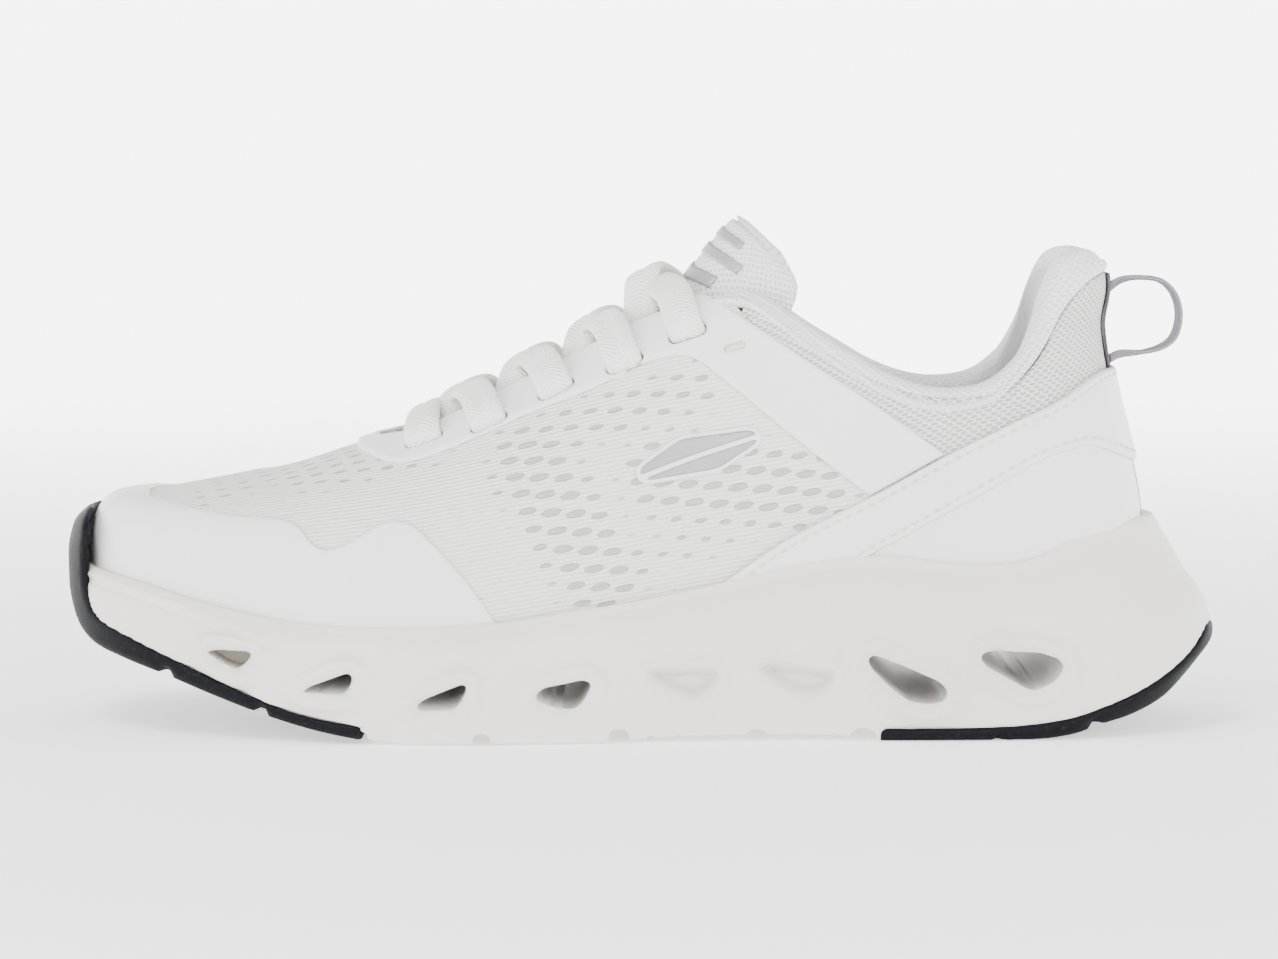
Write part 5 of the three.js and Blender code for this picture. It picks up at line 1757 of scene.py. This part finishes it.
@dataclass
class Lacing:
    """One flat lace that crosses up the throat, with a bar across its toe end."""

    wardrobe: Wardrobe
    over: float = 2.4
    under: float = -5.0
    width: float = 9.4
    thickness: float = 3.1
    heights: tuple = ((-1, 2.4), (-1, 2.4), (-0.6, 2.8), (3.4, 6.8))
    length: float = field(init=False, default=0.0)

    def seat(self, x: float, side: int, reach: float, lift: float) -> tuple[Array, Array]:
        """A place over the foot form and the direction along the shoe there."""
        spot, normal, along = LAST.seat(x, side, LAST.share_at(x, side, max(reach, 0.25)))
        return spot + normal * lift, along

    def crossing(self, level: int, side: int) -> list[tuple[Array, Array]]:
        """The lace from one slot across to the next slot of the other side.

        Args:
            level: The number of the slot that it starts at, from the toe.
            side: The side that it starts on.

        Returns:
            Places and width directions along it.
        """
        (x0, r0), (x1, r1) = SLOTS[level], SLOTS[level + 1]
        h = self.heights[level][1 if side < 0 else 0]
        s, over, under = x1 - x0, self.over, self.under
        rows = [
            (x0, side, r0, under * 0.55), (x0 + 0.05 * s, side, r0 - 2.2, under), (x0 + 0.18 * s, side, 13.5, under),
            (x0 + 0.28 * s, side, 8, (under + h) / 2), (x0 + 0.5 * s, side, 0.3, h),
            (x0 + 0.72 * s, -side, 8, max((over + h) / 2, over + 0.8)), (x0 + 0.86 * s, -side, 14.5, over + 0.9),
            (x1 - 0.04 * s, -side, r1 - 2.4, over + 0.5), (x1, -side, r1, over - 0.9),
        ]
        return [self.seat(*row) for row in rows]

    def half(self, side: int) -> list[tuple[Array, Array]]:
        """The lace from the bar's end on one side to its tail."""
        made = []
        for level in range(len(SLOTS) - 1):
            made += self.crossing(level, side)
            side = -side
        x, reach = SLOTS[-1]
        share = LAST.share_at(x, side, reach)
        for dx, drop, lift in ((0, 0, self.under * 0.55), (-0.8, 0.01, self.under - 1), (-2, 0.05, self.under - 2),
                               (-4, 0.12, self.under - 2.2), (-6, 0.18, self.under - 2.4)):
            spot, normal, along = LAST.seat(x + dx, side, share - drop)
            made.append((spot + normal * lift, along))
        return made

    def build(self) -> None:
        """Makes the lace as one soft woven band."""
        x, reach = SLOTS[0]
        bar = [(reach, self.over - 0.9), (reach - 2.4, self.over + 0.5), (14.5, self.over + 0.6), (7, self.over)]
        path = self.half(-1)[::-1] + [self.seat(x, -1, *spot) for spot in bar] \
            + [self.seat(x, 1, *spot) for spot in bar[::-1]] + self.half(1)
        points, wide = self.even(np.array([p for p, _ in path]), np.array([w for _, w in path]))
        tangent = np.gradient(points, axis=0)
        tangent /= np.linalg.norm(tangent, axis=1)[:, None]
        wide -= tangent * np.sum(wide * tangent, axis=1)[:, None]
        wide /= np.linalg.norm(wide, axis=1)[:, None]
        thick = np.cross(tangent, wide)
        run = lengths(points)
        self.length = run[-1] * MM
        LOG.info("lace: %.3f m", self.length)

        def section(u: Array, w: Array) -> Array:
            """Points of the band: thin in its middle, and narrow at both ends."""
            k = np.rint(u * (len(points) - 1)).astype(int)
            turn = w * 2 * math.pi
            cos, sin = np.cos(turn), np.sin(turn)
            end = np.clip(np.minimum(u, 1 - u) * self.length / MM / 3, 0.35, 1)
            across = bulged(cos, 0.8) * self.width / 2 * end
            puff = 1 - 0.16 * np.exp(-(across / 0.8) ** 2)
            up = bulged(sin, 0.72) * self.thickness / 2 * puff * end
            return points[k] + wide[k] * across[:, None] + thick[k] * up[:, None]

        def cloth(u: Array, w: Array) -> Array:
            """Cloth coordinates of the band."""
            return np.column_stack([u * run[-1], np.cos(w * 2 * math.pi) * self.width / 2])

        piece = loft("lace_band", section, len(points) - 1, 28, cloth)
        self.wardrobe.dress(piece, Slot.LACE, Body.SHOE, "lace")

    @staticmethod
    def even(points: Array, wide: Array, pitch: float = 0.9) -> tuple[Array, Array]:
        """A path and its width directions at even steps, smooth through their points.

        Args:
            points: The path's places.
            wide: The width direction at each place.
            pitch: The length of a step.

        Returns:
            The places and directions at the steps.
        """
        flip = np.concatenate([[1.0], np.cumprod(np.where(np.sum(wide[1:] * wide[:-1], axis=1) < 0, -1.0, 1.0))])
        wide = wide * flip[:, None]
        keep = np.concatenate([[True], np.linalg.norm(np.diff(points, axis=0), axis=1) > 0.4])
        points, wide = points[keep], wide[keep]
        run = lengths(points)
        table = np.column_stack([run, points, wide])
        dense = evened(curve(table, np.linspace(0, run[-1], int(run[-1] / pitch) + 1)), 4)
        return dense[:, :3], dense[:, 3:]


@dataclass
class PullLoop:
    """The webbing loop at the back of the collar."""

    wardrobe: Wardrobe
    width: float = 10.0
    thickness: float = 1.3
    length: float = 58.0

    def build(self) -> None:
        """Makes the ribbon, which bends where it leaves the tape."""
        line = fine(LOOP_PATH, 9)
        step = np.gradient(line, axis=0)
        step /= np.linalg.norm(step, axis=1)[:, None]
        out = np.column_stack([step[:, 1], -step[:, 0]])
        run = np.linspace(0, 1, len(line))
        twist = np.radians(14) * (np.exp(-(run / 0.14) ** 2) - np.exp(-((1 - run) / 0.16) ** 2))

        def section(u: Array, w: Array) -> Array:
            """Points of the ribbon, turned a little at each end."""
            k = np.rint(u * (len(line) - 1)).astype(int)
            turn = w * 2 * math.pi
            across = bulged(np.cos(turn), 0.35) * self.width / 2
            up = bulged(np.sin(turn), 0.7) * self.thickness / 2
            y = across * np.cos(twist[k]) - up * np.sin(twist[k])
            lift = up * np.cos(twist[k]) + across * np.sin(twist[k])
            spot = line[k] + out[k] * lift[:, None]
            return np.column_stack([spot[:, 0], y + HEEL_MIDDLE, spot[:, 1]])

        def cloth(u: Array, w: Array) -> Array:
            """Cloth coordinates of the ribbon."""
            return np.column_stack([u * self.length, np.cos(w * 2 * math.pi) * self.width / 2])

        piece = loft("pull_loop_ribbon", section, len(line) - 1, 32, cloth)
        self.wardrobe.dress(piece, Slot.WEBBING, None, "pull_loop")
        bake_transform(piece)


# ---- Sole ---------------------------------------------------------------------------------------

@dataclass
class Sole:
    """Midsole with its side tunnels and recesses, rubber at both ends, and the sockliner."""

    wardrobe: Wardrobe
    mouth: float = 1.7
    recess: float = 4.6
    inset: float = 0.8
    past: float = 90.0
    pocket_depth: float = 14.0
    sharp: float = 38.0
    rubber_sheet: float = 2.4
    cup_starts: float = 9.3
    crease: tuple = ((-150, 38.5), (-136.1, 37.4), (-122.4, 34.1), (-104.9, 28.6), (-84.9, 22.3))

    def __post_init__(self) -> None:
        """Rounds the outlines off."""
        self.tunnels = [rounded(outline, 1.6) for outline in TUNNELS]
        self.pocket = rounded(POCKET, 1.4)
        self.recesses = [rounded(outline, 2.6) for outline in RECESSES]
        self.toe_rubber = np.vstack([fine(TOE_RUBBER_TOP[1:-1], 4), TOE_RUBBER_TOP[-1:], [[-160, -8], [-160, 55.2]]])
        self.heel_rubber = np.vstack([HEEL_RUBBER_TOP[:1], fine(HEEL_RUBBER_TOP[1:-1], 4),
                                      HEEL_RUBBER_TOP[-1:], [[160, BELOW], [60, BELOW]]])

    def build(self) -> None:
        """Makes the sole's pieces."""
        self.midsole()
        self.rubber("toe_tread", self.toe_rubber, (2.5, 4.5), "toe_outsole")
        self.rubber("heel_tread", self.heel_rubber, (0.72, 2.28), "heel_outsole")
        self.sockliner()

    def relief(self, points: Array, b: Array) -> Array:
        """How far the foam's skin stands off its plain shape.

        Args:
            points: Points of the plain shape.
            b: Their places across the wall.

        Returns:
            The height at each point, below 0 where the skin is sunk.
        """
        flat = side_view(points)
        made = np.zeros(len(flat))
        for outline in [*self.tunnels, self.pocket]:
            d = inside(outline, flat)
            rim = np.clip(d + self.mouth, 0, self.mouth)
            made -= self.mouth - np.sqrt(self.mouth ** 2 - rim ** 2)
            made += 1.0 * np.exp(-((d + 3.0) / 1.1) ** 2) - 0.6 * np.exp(-((d + 6.2) / 1.8) ** 2)
        for outline in self.recesses:
            d = inside(outline, flat)
            made -= self.recess * ease(d, -0.6, 2.0) - 0.9 * np.exp(-((d + 1.9) / 1.0) ** 2)
        line = np.array(self.crease)
        gap = flat[:, 1] - curve(line, flat[:, 0])
        fade = ease(-flat[:, 0], 78, 100) * ease(-flat[:, 0], 150, 144)
        made += fade * (1.2 * ease(gap, -0.3, 0.5) * (1 - ease(gap, 2.5, 9)) - 0.35 * np.exp(-((gap + 0.8) / 0.7) ** 2))
        for outline in (self.toe_rubber, self.heel_rubber):
            d = inside(outline, flat)
            made -= self.inset * (ease(d, -0.2, 0.3) + ease(d, 1.0, 2.5)) + self.notches(points) * ease(d, -0.2, 0.3)
        return made * (1 - ease(b, self.cup_starts, 10.0))

    @staticmethod
    def notches(points: Array) -> Array:
        """How deep the rubber's cross grooves are."""
        made = np.zeros(len(points))
        base = curve(SOLE_BOTTOM, points[:, 0])
        for x, width, depth in RUBBER_GROOVES:
            near = 1 - ease(np.abs(points[:, 0] - x), width * 0.25, width * 0.7)
            made += depth * 0.8 * near * (1 - ease(points[:, 2] - base, 0.5, 3.5))
        return made

    def midsole(self) -> None:
        """The foam, with its tunnels, blind pockets and tread grooves cut out."""
        b_stops = np.concatenate([np.linspace(0, 5, 14), np.linspace(5, 10, 50)[1:], np.linspace(10, 14, 14)[1:]])
        cut = Cut(SOLE_WALL, stops(0, 4, 1.05), b_stops)
        b = cut.read(1)
        cut.shape(lambda points, reach: self.relief(points, b))
        piece = cut.finish("midsole_shell")
        tools = [(outline, -self.past, self.past) for outline in self.tunnels]
        for sign, rows in ((-1, SOLE.lateral), (1, SOLE.medial)):
            wall = float(curve(rows, np.array([-102.0]))[0])
            tools.append((self.pocket, *sorted([wall - sign * self.pocket_depth, wall + sign * 20.0])))
        for x, width, depth in GROOVES:
            tools.append((self.arch(x, width, -6.0, depth), -self.past, self.past))
        carve(piece, tools)
        # Paints shade inside the tunnels and the pocket onto the vertices.
        self.paint_tunnel_shade(piece)
        piece.data.set_sharp_from_angle(angle=math.radians(self.sharp))
        self.wardrobe.dress(piece, Slot.MIDSOLE, Body.SHOE, "midsole")

    @staticmethod
    def arch(x: float, width: float, low: float, high: float) -> Array:
        """The outline of a round-topped groove.

        Args:
            x: The place of its middle.
            width: Its width.
            low: The height of its open end.
            high: The height of its top.

        Returns:
            The outline.
        """
        turn = np.linspace(0, math.pi, 9)
        top = np.column_stack([x + np.cos(turn) * width / 2, high - width / 3 + np.sin(turn) * width / 3])
        return np.vstack([[x + width * 0.62, low], top, [x - width * 0.62, low]])

    def paint_tunnel_shade(self, piece: bpy.types.Object) -> None:
        """Keeps on each vertex how much painted shade it gets. The shade is greater the deeper the vertex lies inside
        the tunnels and the pocket, and it makes the foam there darker and browner.
        """
        mesh = piece.data
        flat = np.empty(len(mesh.vertices) * 3)
        mesh.vertices.foreach_get("co", flat)
        points = flat.reshape(-1, 3) / MM - SHIFT
        side = side_view(points)
        wall = np.where(points[:, 1] < 0, -curve(SOLE.lateral, side[:, 0]), curve(SOLE.medial, side[:, 0]))
        deep = wall * 0.96 - np.abs(points[:, 1])
        near = np.full(len(points), -1e3)
        for outline in [*self.tunnels, self.pocket]:
            near = np.maximum(near, inside(outline, side))
        # Painted shade: grows with depth inside the tunnels and the pocket, and is kept on the vertices as the inner
        # value.
        values = ease(deep, 2.0, 14.0) * (near > -0.3) * 0.85
        mesh.attributes.new("inner", "FLOAT", "POINT").data.foreach_set("value", values.astype(float))

    def rubber(self, name: str, outline: Array, ends: tuple[float, float], node: str) -> None:
        """One piece of rubber, with rounded edges and notches across it.

        Args:
            name: The piece's name.
            outline: Its outline seen from the side.
            ends: Its first and last place round the sole.
            node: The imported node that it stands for.
        """
        cut = Cut(TREAD_WALL, stops(*ends, 1.3), np.linspace(0, 9, 64))
        cut.trim(polygon_region(outline), (0.0, 0.35, 0.9))
        edge = film_edge(-0.5, 1.0, 0.9)
        cut.shape(lambda points, reach: edge(points, reach) - self.notches(points))
        piece = thicken(cut.finish(name), self.rubber_sheet)
        self.wardrobe.dress(piece, Slot.RUBBER, Body.SHOE, node)

    def sockliner(self) -> None:
        """The loose insole, cupped a little at its edge."""
        bm, flat = grid_mesh(220, 34)
        a, w = flat[:, 0] * 4, flat[:, 1]
        rays = UPPER.rays(a)
        edge = rays.at(1.0, curve(FOOTBED, rays.edge[:, 0]) + 2)
        gap = 4.2 + room(edge)
        turn = math.pi * np.clip((w - 0.4) / 0.2, 0, 1)
        out = np.where(w < 0.4, w / 0.4, np.where(w > 0.6, (1 - w) / 0.4, 1)) * 0.985 + 0.015 * np.sin(turn)
        share = out * (0.965 - gap / rays.reach())
        x = rays.centre[:, 0] + (rays.edge[:, 0] - rays.centre[:, 0]) * share
        cup = 1.0 * ease(out, 0.86, 1.0)
        z = curve(FOOTBED, x) + 0.5 + (1 - np.cos(turn)) * 1.9 + cup
        points = rays.at(share, z)
        place_vertices(bm, metres(points))
        keep_cloth(bm, points)
        weld(bm)
        bmesh.ops.recalc_face_normals(bm, faces=bm.faces)
        self.wardrobe.dress(new_piece("insole_pad", bm), Slot.SOCK, Body.INSOLE, "sockliner")


# ---- Studio -------------------------------------------------------------------------------------

@dataclass
class Studio:
    """Camera, soft lights, world and floor."""

    lens: float = 108.34
    sensor: float = 36.0
    camera_place: tuple = (-0.00025, -0.996, 0.150)
    look_down: float = 5.07
    lamps: tuple = (("key", (-0.45, -0.6, 1.4), 0.45, 15.0), ("fill", (0.9, -1.1, 0.75), 0.9, 1.5),
                    ("back", (0.2, 1.0, 1.2), 0.8, 5.0))
    lamps_aim: tuple = (0.0, 0.0, 0.05)
    surround: float = 0.45
    floor_size: float = 12.0
    floor_flat: float = 2.5
    floor_rise: float = 0.3
    floor_drop: float = 0.0002
    floor_glow: float = 4.8

    def build(self) -> None:
        """Sets the studio up."""
        self.camera()
        for lamp in self.lamps:
            self.light(*lamp)
        self.world()
        self.floor()

    def camera(self) -> None:
        """A level, distant camera that looks at the outer side."""
        camera = bpy.data.cameras.new("camera")
        camera.lens = self.lens
        camera.sensor_width = self.sensor
        seat = bpy.data.objects.new("camera", camera)
        seat.location = self.camera_place
        seat.rotation_euler = (math.radians(90 - self.look_down), 0, 0)
        bpy.context.scene.collection.objects.link(seat)
        bpy.context.scene.camera = seat

    def light(self, name: str, place: tuple[float, float, float], size: float, power: float) -> None:
        """A square soft light that faces the shoe.

        Args:
            name: The light's name.
            place: Where it is, in metres.
            size: Its side, in metres.
            power: Its power, in watts.
        """
        lamp = bpy.data.lights.new(name, "AREA")
        lamp.size = size
        lamp.energy = power
        seat = bpy.data.objects.new(name, lamp)
        seat.location = place
        seat.rotation_euler = (Vector(self.lamps_aim) - Vector(place)).to_track_quat("-Z", "Y").to_euler()
        bpy.context.scene.collection.objects.link(seat)

    def world(self) -> None:
        """A plain white surround."""
        world = bpy.data.worlds.new("studio")
        world.use_nodes = True
        ground = world.node_tree.nodes["Background"]
        ground.inputs["Color"].default_value = (1, 1, 1, 1)
        ground.inputs["Strength"].default_value = self.surround
        bpy.context.scene.world = world

    def floor(self) -> None:
        """A plain pale floor that curves up far from the shoe, and glows there."""
        bm = bmesh.new()
        bmesh.ops.create_grid(bm, x_segments=60, y_segments=60, size=self.floor_size / 2)
        for vert in bm.verts:
            away = max(vert.co.xy.length - self.floor_flat, 0.0)
            vert.co.z = self.floor_rise * away ** 2 - self.floor_drop
        piece = new_piece("floor", bm)
        desk = Desk("pale_floor")
        parts = desk.node("ShaderNodeSeparateXYZ", i0=desk.place())
        x, y, z = (Term(desk, parts.outputs[k]) for k in range(3))
        away = desk.math("SQRT", x * x + y * y)
        share = desk.smooth(away, 0.1, 1.5) * (1.0 - desk.smooth(z, 0.6, 1.8))
        glow = desk.mix(share, (0.17, 0.17, 0.17), (1.0, 1.0, 1.0))
        tone = desk.noise(desk.place(), 3, 1)
        piece.data.materials.append(desk.done(Base_Color=desk.mix(tone, (0.94, 0.94, 0.94), (0.95, 0.95, 0.95)),
                                              Roughness=0.9, Emission_Color=glow, Emission_Strength=self.floor_glow))


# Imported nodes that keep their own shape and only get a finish.
CARRIED = {
    "strobel_board": Slot.FELT, "heel_counter": Slot.STIFFENER, "toe_puff": Slot.STIFFENER,
    "aglet_lateral": Slot.AGLET, "aglet_medial": Slot.AGLET,
}


def main() -> None:
    """Builds the shoe's looks and the studio round it."""
    logging.basicConfig(level=logging.INFO, format="%(message)s")
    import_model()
    wardrobe = Wardrobe()
    Studio().build()
    Upper(wardrobe).build()
    Tongue(wardrobe).build()
    Lacing(wardrobe).build()
    PullLoop(wardrobe).build()
    Sole(wardrobe).build()
    for name, slot in CARRIED.items():
        wardrobe.repaint(bpy.data.objects[name], slot)
    bpy.context.view_layer.update()


if __name__ == "__main__":
    main()
